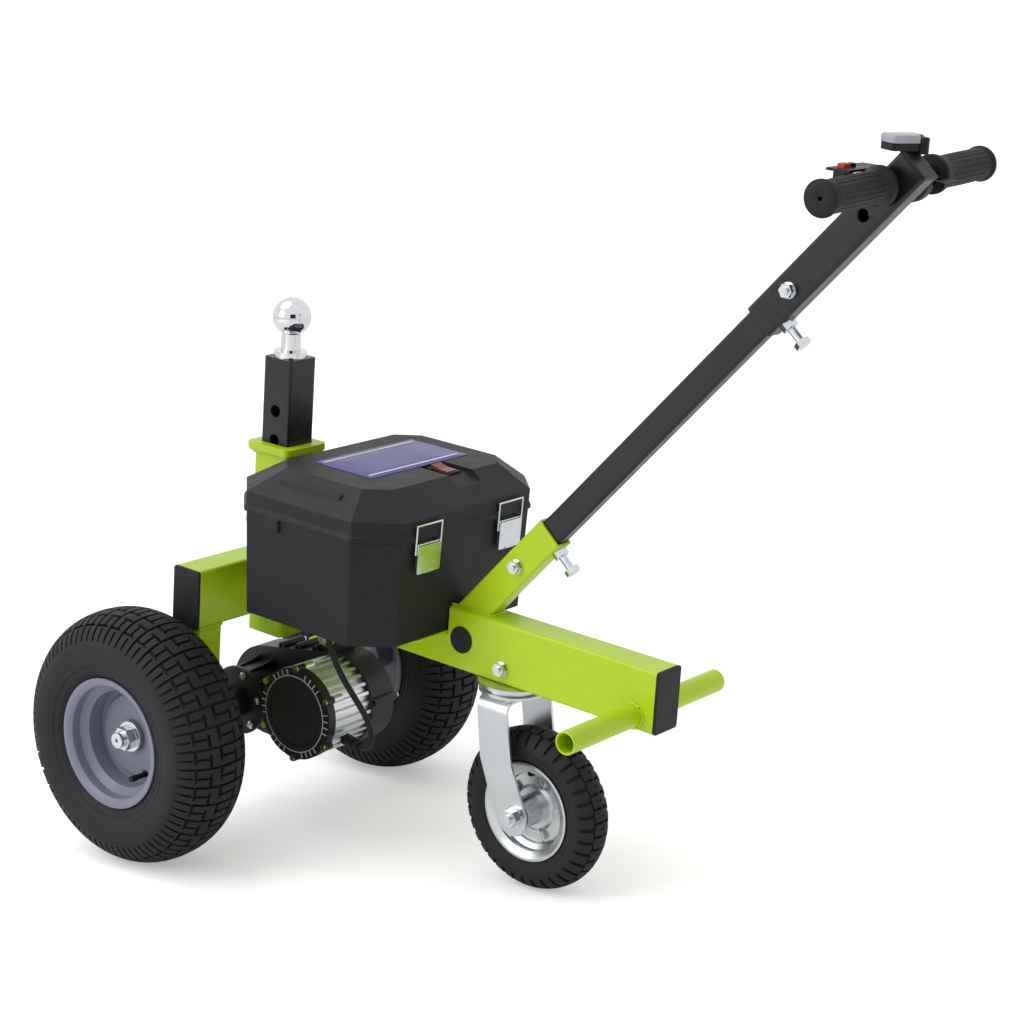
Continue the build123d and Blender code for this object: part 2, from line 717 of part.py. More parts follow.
def make_half_shaft(side):
    """Half shaft out to -Y or +Y, side is -1 or 1."""
    inner = cross_y + side * bevel_large
    y0, y1 = sorted([inner, side * shaft_tip])
    shaft = rod_y(shaft_radius, y0, y1, 0, tyre_radius)
    small_end = cross_y + side * bevel_small
    gear = turned([(0, small_end), (bevel_small, small_end), (bevel_large, inner), (14, inner + side * 1.5),
                   (14, inner + side * 2.5), (0, inner + side * 2.5)], 0, 0, tyre_radius)
    shaft = shaft + gear
    centre_hole = rod_y(2.5, *sorted([side * (shaft_tip - 6), side * (shaft_tip + 1)]), 0, tyre_radius)
    shaft -= centre_hole
    face = side * (half_track + hub_nose + 0.1)
    washer = rod_y(hub_radius - 1, *sorted([face, face + side * 1.5]), 0, tyre_radius)
    nut = hexagon_y(shaft_nut_width, *sorted([face + side * 1.5, face + side * (1.5 + shaft_nut_height)]), 0,
                    tyre_radius)
    fastener = washer + nut - rod_y(shaft_radius + 0.05, -300, 300, 0, tyre_radius)
    return shaft, fastener


left_shaft, left_nut = make_half_shaft(-1)
right_shaft, right_nut = make_half_shaft(1)


# Gears with involute teeth
def gear_face(teeth, phase, bore=0.0):
    """Gear outline in X and Z, with a tooth's middle at the phase angle in degrees."""
    r_pitch = gear_module * teeth / 2
    r_base = r_pitch * math.cos(math.radians(20))
    r_tip = r_pitch + 0.8 * gear_module
    r_root = r_pitch - 1.2 * gear_module
    lash = 0.12
    half_pitch = math.pi / 2 / teeth - lash / r_pitch
    involute = math.tan(math.radians(20)) - math.radians(20)
    start = max(r_base, r_root)
    flank = []
    for i in range(4):
        r = start + (r_tip - start) * i / 3
        angle = math.acos(min(r_base / r, 1.0))
        flank.append((r, half_pitch + involute - (math.tan(angle) - angle)))
    if r_root < r_base:
        flank.insert(0, (r_root, flank[0][1]))
    points = []
    for i in range(teeth):
        middle = math.radians(phase + 360 / teeth * i)
        points += [(r * math.cos(middle - a), r * math.sin(middle - a)) for r, a in flank]
        points += [(r * math.cos(middle + a), r * math.sin(middle + a)) for r, a in reversed(flank)]
    face = make_face(Polyline(*points, close=True))
    return face - Circle(bore) if bore else face


def gear(teeth, phase, y0, y1, x, z, bore=0.0):
    """Spur gear about an axis along Y."""
    plane = Plane(origin=(x, y1, z), x_dir=(1, 0, 0), z_dir=(0, -1, 0))
    return extrude(plane * gear_face(teeth, phase, bore), amount=y1 - y0)


slow_distance = gear_module * (output_teeth + idler_pinion_teeth) / 2
fast_distance = gear_module * (idler_teeth + pinion_teeth) / 2
centre_distance = slow_distance + fast_distance
rise = math.radians(motor_bearing_rise)
idler_x, idler_z = slow_distance * math.cos(rise), tyre_radius + slow_distance * math.sin(rise)
motor_x, motor_z = centre_distance * math.cos(rise), tyre_radius + centre_distance * math.sin(rise)
cavity_near = case_near + case_wall
slow_y0 = cavity_near + 1
slow_y1 = slow_y0 + slow_gear_width
fast_y0 = slow_y1 + gear_gap
fast_y1 = fast_y0 + fast_gear_width
cavity_far = fast_y1 + 2
case_far = cavity_far + case_wall
shaft_hole = shaft_radius + fit_gap

# Output gear with the differential cage, its cross pin and two bevel gears
output_gear = gear(output_teeth, motor_bearing_rise, slow_y0, slow_y1, 0, tyre_radius, shaft_hole)
cage = rod_y(cage_radius, cage_near, cage_far, 0, tyre_radius)
cage -= rod_y(cage_radius - cage_wall, cage_near + cage_wall, cage_far - cage_wall, 0, tyre_radius)
cage -= rod_y(shaft_hole, cage_near - 1, cage_far + 1, 0, tyre_radius)
cage += rod_y(cage_radius - 4, cage_far, slow_y0, 0, tyre_radius) - rod_y(shaft_hole, cage_far - 1, slow_y0
                                                                          + 1, 0, tyre_radius)
window = block(-60, 60, cross_y - 13, cross_y + 13, tyre_radius - 17, tyre_radius + 17)
cage -= window
output_gear += cage
bevel_slip = slip_gap * math.sqrt(2)
bevel = Cone(bevel_small, bevel_large, bevel_large - bevel_small)
bevel_top = Pos(0, cross_y, tyre_radius + (bevel_small + bevel_large) / 2 + bevel_slip) * bevel
bevel_low = Pos(0, cross_y, tyre_radius) * Rot(180, 0, 0) * Pos(0, 0, (bevel_small + bevel_large) / 2
                                                                + bevel_slip) * bevel
cross_pin = rod_z(5, tyre_radius - cage_radius + 1, tyre_radius + cage_radius - 1, 0, cross_y)
output_gear += [bevel_top, bevel_low, cross_pin]

# Idler: the large gear, the small gear and its two journals in one piece
idler = gear(idler_pinion_teeth, motor_bearing_rise + 180 + 180 / idler_pinion_teeth, slow_y0, slow_y1,
             idler_x, idler_z)
idler += gear(idler_teeth, motor_bearing_rise, fast_y0, fast_y1, idler_x, idler_z)
idler += rod_y(11, slow_y1, fast_y0, idler_x, idler_z)
idler += rod_y(6, cavity_near - 2.6, slow_y0, idler_x, idler_z)
idler += rod_y(6, fast_y1, cavity_far + 2.6, idler_x, idler_z)

# Rotor: slotted core, commutator and the shaft with the motor's pinion
cap_face = motor_near - motor_cap_depth
core_y0 = motor_near + 9
rotor = gear(pinion_teeth, motor_bearing_rise + 180 + 180 / pinion_teeth, fast_y0, fast_y1, motor_x, motor_z)
rotor += rod_y(rotor_shaft_radius, motor_near - 7, fast_y1 + 1, motor_x, motor_z)
core = rod_y(rotor_radius, core_y0, core_y0 + rotor_length, motor_x, motor_z)
slots = [Pos(motor_x, 0, motor_z) * Rot(0, 30 * i, 0) * block(rotor_radius - 10, rotor_radius + 1, core_y0
                                                              - 1, core_y0 + rotor_length + 1, -2.5, 2.5)
         for i in range(12)]
rotor += core - slots
rotor += rod_y(14, core_y0 - 7, core_y0, motor_x, motor_z)


# Gear case: a rounded case round the gears with the bell of the differential on its near half
def case_slab(radius, y0, y1):
    """Stadium round the axle and the motor's axis."""
    middle = Pos(motor_x / 2, 0, (tyre_radius + motor_z) / 2)
    plane = Plane(origin=(0, y1, 0), x_dir=(math.cos(rise), 0, math.sin(rise)), z_dir=(0, -1, 0))
    return middle * extrude(plane * SlotCenterToCenter(centre_distance, 2 * radius), amount=y1 - y0)


case_radius = gear_module * output_teeth / 2 + 1.6 + 4.4 + case_wall
case_split = slow_y1 + 1
lug_x, lug_z = 105.0, 268.0
bell_end = cage_near - 3 - case_wall
case_screws = []
for i in range(8):
    along = [-1.0, -0.45, 0.0, 0.5, 1.0, 0.5, 0.0, -0.45][i]
    above = [0.0, 1.0, 1.0, 1.0, 0.0, -1.0, -1.0, -1.0][i]
    reach = along * (centre_distance / 2 if above else centre_distance / 2 + case_radius + 2)
    side = above * (case_radius + 2)
    case_screws.append((motor_x / 2 + reach * math.cos(rise) - side * math.sin(rise),
                        (tyre_radius + motor_z) / 2 + reach * math.sin(rise) + side * math.cos(rise)))


def case_lug(y0, y1):
    """Upright lug on top of the case for the bolt of the motor bracket."""
    lug = block(lug_x - 15, lug_x + 15, y0, y1, 235, lug_z) + rod_y(15, y0, y1, lug_x, lug_z)
    return lug - rod_y(bolt_radius + slip_gap, y0 - 1, y1 + 1, lug_x, lug_z)


def make_case_half(y0, y1, hollow0, hollow1, lug0, lug1):
    half = case_slab(case_radius, y0, y1)
    half += [rod_y(5.5, y0, y1, x, z) for x, z in case_screws]
    half += case_lug(lug0, lug1)
    half -= case_slab(case_radius - case_wall, hollow0, hollow1)
    return half - [rod_y(2.5, y0 - 1, y1 + 1, x, z) for x, z in case_screws]


gear_case = make_case_half(case_near, case_split, cavity_near, case_split + 1, slow_y0, case_split)
bell = rod_y(cage_radius + bell_gap + case_wall, bell_end, case_near, 0, tyre_radius)
gear_case += bell
gear_case -= rod_y(cage_radius + bell_gap, bell_end + case_wall, cavity_near + 1, 0, tyre_radius)
gear_case -= rod_y(shaft_radius + slip_gap, bell_end - 1, bell_end + case_wall + 1, 0, tyre_radius)
gear_case -= rod_y(rotor_shaft_radius + 1, case_near - 1, cavity_near + 1, motor_x, motor_z)
gear_case -= rod_y(6 + fit_gap, cavity_near - 3, cavity_near + 1, idler_x, idler_z)
gear_case_cover = make_case_half(case_split + weld_gap, case_far, case_split - 1, cavity_far,
                                 case_split + weld_gap, case_far - 1)
gear_case_cover -= rod_y(shaft_radius + slip_gap, cavity_far - 1, case_far + 1, 0, tyre_radius)
gear_case_cover -= rod_y(6 + fit_gap, cavity_far - 1, cavity_far + 3, idler_x, idler_z)


# Axle tubes with a bearing at each end and a flange at the leg's plate
def make_axle_tube(y0, y1, flange0, flange1):
    seat = bearing_radius + fit_gap
    bore = shaft_radius + 5
    tube = turned([(axle_tube_radius, y0), (axle_tube_radius, y1), (seat, y1), (seat, y1 - bearing_width),
                   (bore, y1 - bearing_width), (bore, y0 + bearing_width), (seat, y0 + bearing_width),
                   (seat, y0)], 0, 0, tyre_radius)
    flange = rod_y(36, flange0, flange1, 0, tyre_radius) - rod_y(bearing_radius + 1, flange0 - 1, flange1
                                                                 + 1, 0, tyre_radius)
    return tube + flange


def make_bearing(y0):
    """Ball bearing as one ring with a groove in each face between its two races."""
    y1 = y0 + bearing_width
    inner, outer = shaft_radius + fit_gap, bearing_radius
    mid0, mid1 = 13.3, 16.7
    return turned([(inner, y0), (mid0, y0), (mid0, y0 + 1.5), (mid1, y0 + 1.5), (mid1, y0), (outer, y0),
                   (outer, y1), (mid1, y1), (mid1, y1 - 1.5), (mid0, y1 - 1.5), (mid0, y1), (inner, y1)], 0,
                  0, tyre_radius)


plate_inner = leg_inner - 6
tube_out = leg_outer + 2.5
left_tube_end = bell_end - weld_gap
right_tube_end = case_far + weld_gap
axle_tubes = Part() + [make_axle_tube(-tube_out, left_tube_end, -plate_inner + weld_gap, -plate_inner + 7.5),
                       make_axle_tube(right_tube_end, tube_out, plate_inner - 7.5, plate_inner - weld_gap)]
bearings = Part() + [make_bearing(y) for y in (-tube_out, left_tube_end - bearing_width, right_tube_end,
                                                tube_out - bearing_width)]

# Motor: ribbed body, end cap with six screws, and four magnets
screw_ring = motor_cap_radius
screw_spots = [(motor_x + screw_ring * math.cos(math.radians(30 + 60 * i)),
                motor_z + screw_ring * math.sin(math.radians(30 + 60 * i))) for i in range(6)]


def make_motor_body():
    end = case_near - 0.1
    fins = []
    for i in range(motor_fins):
        middle = math.radians(360 / motor_fins * i)
        quarter = math.radians(90 / motor_fins)
        for r, a in [(motor_core_radius, -2 * quarter), (motor_core_radius, -quarter),
                     (motor_core_radius + motor_fin_height, -0.7 * quarter),
                     (motor_core_radius + motor_fin_height, 0.7 * quarter), (motor_core_radius, quarter)]:
            fins.append((r * math.cos(middle + a), r * math.sin(middle + a)))
    plane = Plane(origin=(motor_x, end, motor_z), x_dir=(1, 0, 0), z_dir=(0, -1, 0))
    body = extrude(plane * make_face(Polyline(*fins, close=True)), amount=end - motor_near)
    body += [rod_y(5, motor_near, motor_near + 16, x, z) for x, z in screw_spots]
    body -= rod_y(motor_core_radius - motor_wall, motor_near - 1, end - 5, motor_x, motor_z)
    body -= rod_y(rotor_shaft_radius + fit_gap, end - 6, end + 1, motor_x, motor_z)
    return body - [rod_y(2.5, motor_near - 1, motor_near + 13, x, z) for x, z in screw_spots]


def make_motor_cap():
    near, far = cap_face, motor_near - weld_gap
    cap_ring = rod_y(motor_cap_radius, near + 1.5, far, motor_x, motor_z)
    cap_ring += rod_y(motor_face_radius, near, near + 2, motor_x, motor_z)
    cap_ring += [rod_y(motor_lug_radius - screw_ring, near + 1.5, far, x, z) for x, z in screw_spots]
    groove = rod_y(motor_face_radius - 8, near - 1, near + 0.8, motor_x, motor_z) - rod_y(
        motor_face_radius - 10, near - 2, near + 2, motor_x, motor_z)
    ticks = [Pos(motor_x, 0, motor_z) * Rot(0, 30 * i + 15, 0) * block(motor_face_radius + 1,
                                                                       motor_cap_radius + 1, near, near
                                                                       + 2.5, -1.2, 1.2) for i in range(12)]
    cap_ring -= rod_y(motor_core_radius - motor_wall - 2, far - 4, far + 1, motor_x, motor_z)
    cap_ring -= rod_y(rotor_shaft_radius + fit_gap, far - 8, far + 1, motor_x, motor_z)
    return cap_ring - groove - ticks - [rod_y(2.5, near - 1, far + 1, x, z) for x, z in screw_spots]


motor_body = make_motor_body()
motor_end_cap = make_motor_cap()
motor_screws = Part() + [rod_y(4, cap_face - 1.1, cap_face + 1.4, x, z)
                         + rod_y(2.2, cap_face, motor_near + 12, x, z) for x, z in screw_spots]
magnet_ring = (rod_y(motor_core_radius - motor_wall - 0.1, motor_near + 9, motor_near + 55, motor_x, motor_z)
               - rod_y(motor_core_radius - motor_wall - magnet_thickness, motor_near, motor_near + 60,
                       motor_x, motor_z))
motor_magnets = magnet_ring - [Pos(motor_x, 0, motor_z) * Rot(0, 45 + 90 * i, 0) * block(30, 60, motor_near,
                                                                                         0, -9, 9)
                               for i in range(4)]

# Bracket between the spine and the gear case
cheek_near = slow_y0 - 4.3
cheek_far = case_far - 1 + 0.3
plate_top = spine_bottom - 0.3
motor_bracket = block(60, 200, -40, 60, plate_top - 5, plate_top)
for y in (cheek_near, cheek_far):
    cheek = block(lug_x - 20, lug_x + 20, y, y + 4, lug_z, plate_top - 4) + rod_y(12, y, y + 4, lug_x, lug_z)
    motor_bracket += cheek - rod_y(bolt_radius + slip_gap, y - 1, y + 5, lug_x, lug_z)


# Ball post and tow ball
ball_foot = post_top
post_plate = 8.0
ball_post = extrude(Pos(post_x, 0, post_bottom) * tube_section(post_width, post_width, post_wall,
                                                               tube_corner), amount=post_top - post_bottom)
ball_post += extrude(Pos(post_x, 0, post_top - post_plate) * RectangleRounded(post_width - 2, post_width - 2,
                                                                              3), amount=post_plate)
ball_post -= rod_z(ball_shank_radius + slip_gap, post_top - post_plate - 1, post_top + 1, post_x)
ball_post -= [rod_y(post_hole_radius, -post_width, post_width, post_x, post_top - drop)
              for drop in post_hole_drops]
flange_top = ball_foot + weld_gap + ball_flange_height
tow_ball = Pos(post_x, 0, ball_z) * Sphere(ball_radius)
tow_ball += rod_z(ball_neck_radius, flange_top - 1, ball_z - ball_radius + 4, post_x)
tow_ball += rod_z(ball_flange_radius, ball_foot + weld_gap, flange_top, post_x)
tow_ball += rod_z(ball_shank_radius, post_top - post_plate - 18, flange_top - 1, post_x)
ball_nut_top = post_top - post_plate - weld_gap
ball_nut = extrude(Pos(post_x, 0, ball_nut_top - 13) * RegularPolygon(28 / math.sqrt(3), 6), amount=13)
ball_nut -= rod_z(ball_shank_radius + fit_gap, ball_nut_top - 20, ball_nut_top + 1, post_x)
tow_ball = Part() + [tow_ball, ball_nut]


# Caster: plate with its stem and kingpin, fork, axle and wheel
plate_z = spine_bottom - weld_gap
fork_top = plate_z - swivel_height
fork_inner = caster_width / 2 + fork_gap
pin_hole = 8 + fit_gap
caster_plate = rod_z(swivel_radius, plate_z - 4, plate_z, caster_x) + rod_z(swivel_radius - 7, fork_top,
                                                                            plate_z, caster_x)
caster_plate += rod_z(stem_radius, plate_z - 1, plate_z + stem_length, caster_x)
caster_plate += rod_z(8, fork_top - 14, fork_top, caster_x) + rod_z(15, fork_top - 14, fork_top - 9 + 0.6,
                                                                    caster_x)
caster_plate -= rod_y(bolt_radius + slip_gap, -stem_radius - 1, stem_radius + 1, caster_x, caster_bolt_z)

head_top = fork_top - slip_gap
head_low = fork_top - 8
caster_fork = rod_z(swivel_radius - 2, head_top - 4, head_top, caster_x)
leg_outline = [(402, head_low + 4.5), (448, head_low + 4.5), (448, 277), (461, 209), (489, 150), (489, 136),
               (481, 124), (466, 119), (450, 127), (439, 144), (412, 209), (402, 277)]
arch = block(380, 500, -fork_inner - fork_sheet, fork_inner + fork_sheet, 100, head_low + 4.5)
arch = fillet(arch.edges().filter_by(Axis.X).group_by(Axis.Z)[-1], shoulder_radius + 4)
hollow = block(370, 510, -fork_inner, fork_inner, 90, head_low + 0.5)
hollow = fillet(hollow.edges().filter_by(Axis.X).group_by(Axis.Z)[-1], shoulder_radius)
caster_fork += (arch - hollow) & side_plate(leg_outline, -80, 80)
caster_fork -= rod_z(pin_hole, head_low - 1, head_top + 1, caster_x)
caster_fork -= rod_y(caster_bolt_radius + fit_gap, -60, 60, caster_axle_x, caster_axle_z)
caster_axle = through_bolt(caster_bolt_radius, fork_inner + fork_sheet + 0.1, caster_axle_x, caster_axle_z)


def make_caster_rim():
    lip, edge, seat, t = caster_lip_radius, caster_lip_offset, caster_bead_radius, 2.5
    outer = [(lip, edge), (lip, edge - 2), (seat + 2.2, edge - 3.2), (seat, edge - 5), (seat, 11),
             (seat - 6, 8)]
    outer = outer + [(r, -y) for r, y in reversed(outer)]
    left = [(lip - 3, -edge), (lip - 5.5, -edge + 1), (seat - t, -edge + 4), (seat - t, -10),
            (seat - 6 - t, -7)]
    right = [(r, -y) for r, y in reversed(left)]
    bore = caster_bolt_radius + fit_gap
    hub_half = fork_inner - slip_gap - 0.5
    web = [(44, -3), (30, -3), (26, -6), (caster_hub_radius, -6), (caster_hub_radius, -hub_half),
           (bore, -hub_half), (bore, hub_half), (caster_hub_radius, hub_half), (caster_hub_radius, 6),
           (26, 6), (30, 3), (44, 3)]
    rim = turned(outer + left + web + right)
    return rim - [Rot(0, 72 * i, 0) * rod_y(4.2, -8, 8, 36, 0) for i in range(5)]


caster_turn = Pos(caster_axle_x, 0, caster_axle_z) * Rot(0, -pitch, 0)
rim_bolts = [caster_turn * Rot(0, 72 * i, 0) * (rod_y(4, -9, 8, 36, 0) + hexagon_y(13, -8, -3.1, 36, 0)
                                                + hexagon_y(13, 3.1, 8, 36, 0)) for i in range(5)]
caster_rim = Part() + [caster_turn * make_caster_rim()]
caster_rim_bolts = Part() + rim_bolts
caster_valve = caster_turn * (rod_y(3, -24, -2, 0, 46) + rod_y(4, -8, -2, 0, 46))
caster_rim -= caster_turn * rod_y(4.5, -12, 0, 0, 46)
caster_tyre = Part() + [caster_turn * make_caster_tyre(), caster_valve]


# Battery box: an octagonal drafted tub, open at the top
def wall_loft(z0, z1, inset):
    """Solid of the drafted box between two heights, drawn in by an extra inset."""
    return loft([octagon(z0, box_inset(z0) + inset), octagon(z1, box_inset(z1) + inset)], ruled=True)


battery_box = wall_loft(box_bottom, box_split, 0) - wall_loft(box_bottom + box_wall, box_split + 1, box_wall)
battery_box -= rod_z(lead_radius + 1.5, box_bottom - 1, box_bottom + box_wall + 1, lead_points[0][0],
                     lead_points[0][1])
flat_back = box_back + lid_bevel_back
flat_front = box_front - lid_bevel_front
flat_side = box_half_width - lid_bevel_side


def lid_solid(inset, z0):
    """Lid from a height up: a band that carries the box's walls on, then sloping sides up to the flat."""
    top = octagon(lid_top - inset, inset, flat_back, flat_front, flat_side, lid_chamfer)
    band = wall_loft(z0, band_top, inset)
    return band + loft([octagon(band_top, inset), top], ruled=True)


lip_low = box_split - lip_height
lip_inset = box_wall + box_inset(lip_low) + slip_gap
lid_lip = prism(octagon(lip_low, lip_inset), lip_height + 4) - prism(octagon(lip_low - 1, lip_inset + 2),
                                                                     lip_height + 6)
lid_lip += prism(octagon(box_split + 1, box_wall - 0.5), 3) - prism(octagon(box_split, lip_inset + 2), 5)
seam = box_split + 0.3
box_lid = lid_solid(0, seam) - lid_solid(box_wall, seam - 1) + lid_lip
pocket_x0, pocket_x1 = recess_x - recess_length / 2, recess_x + recess_length / 2
pocket_y0, pocket_y1 = recess_y - recess_width / 2, recess_y + recess_width / 2
floor_z = lid_top - recess_depth
box_lid += block(pocket_x0 - 3, pocket_x1 + 3, pocket_y0 - 3, pocket_y1 + 3, floor_z - box_wall, lid_top - 1)
ramp_drop = (pocket_ramp - pocket_x1) * ramp_slope
ramp_under = [(pocket_x1 - 3, floor_z - box_wall), (pocket_x1 - 3, lid_top - 1), (flat_front, lid_top - 1),
              (pocket_ramp + 1, floor_z - ramp_drop - 2.5),
              (pocket_ramp - 1, floor_z - ramp_drop - box_wall)]
box_lid += side_plate(ramp_under, pocket_y0 - 3, pocket_y1 + 3)
box_lid -= block(pocket_x0, pocket_x1, pocket_y0, pocket_y1, floor_z, lid_top + 1)
ramp_cut = [(pocket_x1 - 1, floor_z), (pocket_x1, floor_z),
            (pocket_ramp + 9, floor_z - ramp_drop - 9 * ramp_slope), (pocket_ramp + 9, lid_top + 5),
            (pocket_x1 - 1, lid_top + 5)]
box_lid -= side_plate(ramp_cut, pocket_y0, pocket_y1)

# Power rocker in the lid: a bezel with its switch body, and the rocker on a cross pin
rocker_reach = math.hypot(rocker_length / 2, rocker_height / 2) + slip_gap
bezel_x = rocker_reach + bezel_rim
bezel_y = rocker_width / 2 + slip_gap + bezel_rim
switch_floor = floor_z - 12
pivot_z = floor_z + 1.5
switch_bezel = block(recess_x - bezel_x, recess_x + bezel_x, recess_y - bezel_y, recess_y + bezel_y, floor_z
                     + 0.1, floor_z + 3)
switch_bezel += block(recess_x - bezel_x + 1.5, recess_x + bezel_x - 1.5, recess_y - bezel_y + 1.5, recess_y
                      + bezel_y - 1.5, switch_floor, floor_z + 1)
switch_bezel -= block(recess_x - rocker_reach, recess_x + rocker_reach, recess_y - rocker_width / 2
                      - slip_gap, recess_y + rocker_width / 2 + slip_gap, switch_floor + 2, floor_z + 4)
switch_bezel += rod_y(1.5, recess_y - bezel_y + 2, recess_y + bezel_y - 2, recess_x, pivot_z)
box_lid -= block(recess_x - bezel_x + 1.1, recess_x + bezel_x - 1.1, recess_y - bezel_y + 1.1, recess_y
                 + bezel_y - 1.1, floor_z - box_wall - 1, floor_z + 1)
rocker_tilt = 8.0
half_rocker = rocker_length / 2
rocker_outline = [(-half_rocker, -1), (-half_rocker, rocker_height / 2), (0, rocker_height / 2 - 1.5),
                  (half_rocker, rocker_height / 2), (half_rocker, -1), (6, -5), (-6, -5)]
power_rocker = side_plate(rocker_outline, -rocker_width / 2, rocker_width / 2)
power_rocker -= rod_y(1.5 + fit_gap, -rocker_width, rocker_width)
power_rocker = Pos(recess_x, recess_y, pivot_z) * Rot(0, rocker_tilt, 0) * power_rocker

# Batteries, motor controller and the tray under the box
tray_z = seat_z + slip_gap
battery_tray = block(72, step_x - 2, -tray_half_width, tray_half_width, tray_z, tray_z + tray_thickness
                     - 0.3)
shelf = box_bottom + box_wall + slip_gap


def make_battery(x0):
    body = block(x0, x0 + battery_width, -battery_length / 2, battery_length / 2, shelf, shelf
                 + battery_height)
    body = fillet(body.edges().filter_by(Axis.Z), 3)
    posts = [rod_z(6, shelf + battery_height - 1, shelf + battery_height + 8, x0 + battery_width / 2, y)
             for y in (-battery_length / 2 + 15, battery_length / 2 - 15)]
    return body + posts


batteries = Part() + [make_battery(battery_x), make_battery(battery_x + battery_width + 2)]
controller_x = 85.0
depth, width, height = controller_size
motor_controller = block(controller_x, controller_x + depth - 8, -width / 2, width / 2, shelf, shelf
                         + height)
motor_controller += [block(controller_x + depth - 9, controller_x + depth, y, y + 2.5, shelf, shelf + height)
                     for y in (-50, -40, -30, -20, -10, 0, 10, 20, 30, 40, 47)]


# Latches on the front wall: base with its pin, lever plate with side cheeks, and a wire bail
wall_x = box_front - box_inset(latch_pivot_z)
lean = math.degrees(math.atan2(box_draft, band_top - box_bottom))
plate_half = latch_plate_width / 2
bail_y = plate_half + bail_wire + slip_gap
bail_u, bail_w = latch_pivot_out + 1.3, -bail_drop


def latch_place(y):
    """Frame of a latch: X out of the leaning wall, Z up along it, origin on the wall by the pin."""
    return Pos(wall_x, y, latch_pivot_z) * Rot(0, lean, 0)


def make_latch_base():
    s = latch_sheet
    base = block(0.1, 0.1 + s, -17, 17, -30, 1)
    ear_radius = latch_plate_out - latch_pivot_out - slip_gap
    for y in (-17, 15):
        ear = rod_y(ear_radius, y, y + 2, latch_pivot_out, 0) + block(0.1, latch_pivot_out, y, y + 2,
                                                                      -ear_radius, 1)
        base += ear
    return base + rod_y(latch_pin_radius, -plate_half + 0.4, plate_half - 0.4, latch_pivot_out, 0)


def make_latch_lever():
    s = latch_sheet
    plate = block(latch_plate_out, latch_plate_out + s, -plate_half, plate_half, 0.5 - latch_plate_height,
                  0.5)
    plate = fillet(plate.edges().filter_by(Axis.X), 3)
    lever = plate + block(latch_plate_out, latch_plate_out + 2.5, -8, 8, 0.5 - latch_plate_height,
                          -latch_plate_height + 3)
    for y in (-plate_half, plate_half - s):
        cheek = rod_y(2.9, y, y + s, latch_pivot_out, 0)
        cheek += block(latch_pivot_out, latch_plate_out + 0.5, y, y + s, -2.9, 0.4)
        cheek += block(bail_u - 2.2, latch_plate_out + 0.5, y, y + s, bail_w - 2.2, -1)
        lever += cheek
    holes = [rod_y(latch_pin_radius + fit_gap, -plate_half - 1, plate_half + 1, latch_pivot_out, 0),
             rod_y(bail_wire + fit_gap, -plate_half - 1, plate_half + 1, bail_u, bail_w)]
    return lever - holes


def make_latch_bail():
    top = bail_top - latch_pivot_z
    bail = rod_y(bail_wire, -bail_y, bail_y, bail_u, top)
    for side in (-1, 1):
        bail += rod_z(bail_wire, bail_w, top, bail_u, side * bail_y)
        bail += [Pos(bail_u, side * bail_y, z) * Sphere(bail_wire) for z in (bail_w, top)]
        bail += rod_y(bail_wire, *sorted([side * bail_y, side * (plate_half - latch_sheet - 0.6)]), bail_u,
                      bail_w)
    return bail


keeper_low, keeper_high = box_split + 1.5 - latch_pivot_z, bail_top - bail_wire - 1 - latch_pivot_z
box_lid += [latch_place(side * latch_y) * block(-1, latch_pivot_out - 0.5, 1 - plate_half, plate_half - 1,
                                                keeper_low, keeper_high) for side in (-1, 1)]
latch_bases = Part() + [latch_place(side * latch_y) * make_latch_base() for side in (-1, 1)]
left_latch_lever, right_latch_lever = [latch_place(side * latch_y) * make_latch_lever() for side in (-1, 1)]
left_latch_bail, right_latch_bail = [latch_place(side * latch_y) * make_latch_bail() for side in (-1, 1)]


# Bolts of the frame: cross bolts, and clamp screws with the nuts welded under them
def clamp_screw(plane, wall):
    """Screw through a weld nut; the plane lies on the tube's face and looks away from it."""
    screw = plane.location * rod_z(screw_radius, -wall + 0.3, 26)
    head = plane.location * Pos(0, 0, 26) * extrude(RegularPolygon(17 / math.sqrt(3), 6), amount=6.5)
    nut = plane.location * Pos(0, 0, weld_gap) * extrude(RegularPolygon(17 / math.sqrt(3), 6), amount=8)
    return screw + head + nut


receiver_back = Plane(origin=(post_x - receiver_width / 2, 0, clamp_z), x_dir=(0, 1, 0), z_dir=(-1, 0, 0))
frame_bolts = Part() + [through_bolt(bolt_radius, socket_width / 2 + 0.1, socket_bolt_x, socket_bolt_z),
                        through_bolt(bolt_radius, upper_width / 2 + 0.1, upper_bolt_x, upper_bolt_z),
                        through_bolt(bolt_radius, spine_width / 2 + 0.1, caster_x, caster_bolt_z),
                        nut_stack(bolt_radius, cheek_near - 0.1, -1, lug_x, lug_z)
                        + nut_stack(bolt_radius, cheek_far + 4.1, 1, lug_x, lug_z)
                        + rod_y(bolt_radius, cheek_near - 1, cheek_far + 5, lug_x, lug_z),
                        clamp_screw(receiver_back, receiver_wall),
                        clamp_screw(screw_plane(socket_screw_at, socket_depth), handle_wall),
                        clamp_screw(screw_plane(upper_screw_at, upper_depth), handle_wall)]
case_bolts = Part() + [rod_y(2.2, case_near + 4, case_far + 0.9, x, z)
                       + hexagon_y(7, case_far + 0.1, case_far + 3.5, x, z) for x, z in case_screws]


# Motor lead with a rubber boot at each end
def bend_radii(points):
    """Arc radius at each inner point, from the shorter run beside it."""
    radii = []
    for a, b, c in zip(points, points[1:], points[2:]):
        u, v = Vector(*b) - Vector(*a), Vector(*c) - Vector(*b)
        turn = math.radians(u.get_angle(v))
        radii.append(0.45 * min(u.length, v.length) / math.tan(turn / 2))
    return radii


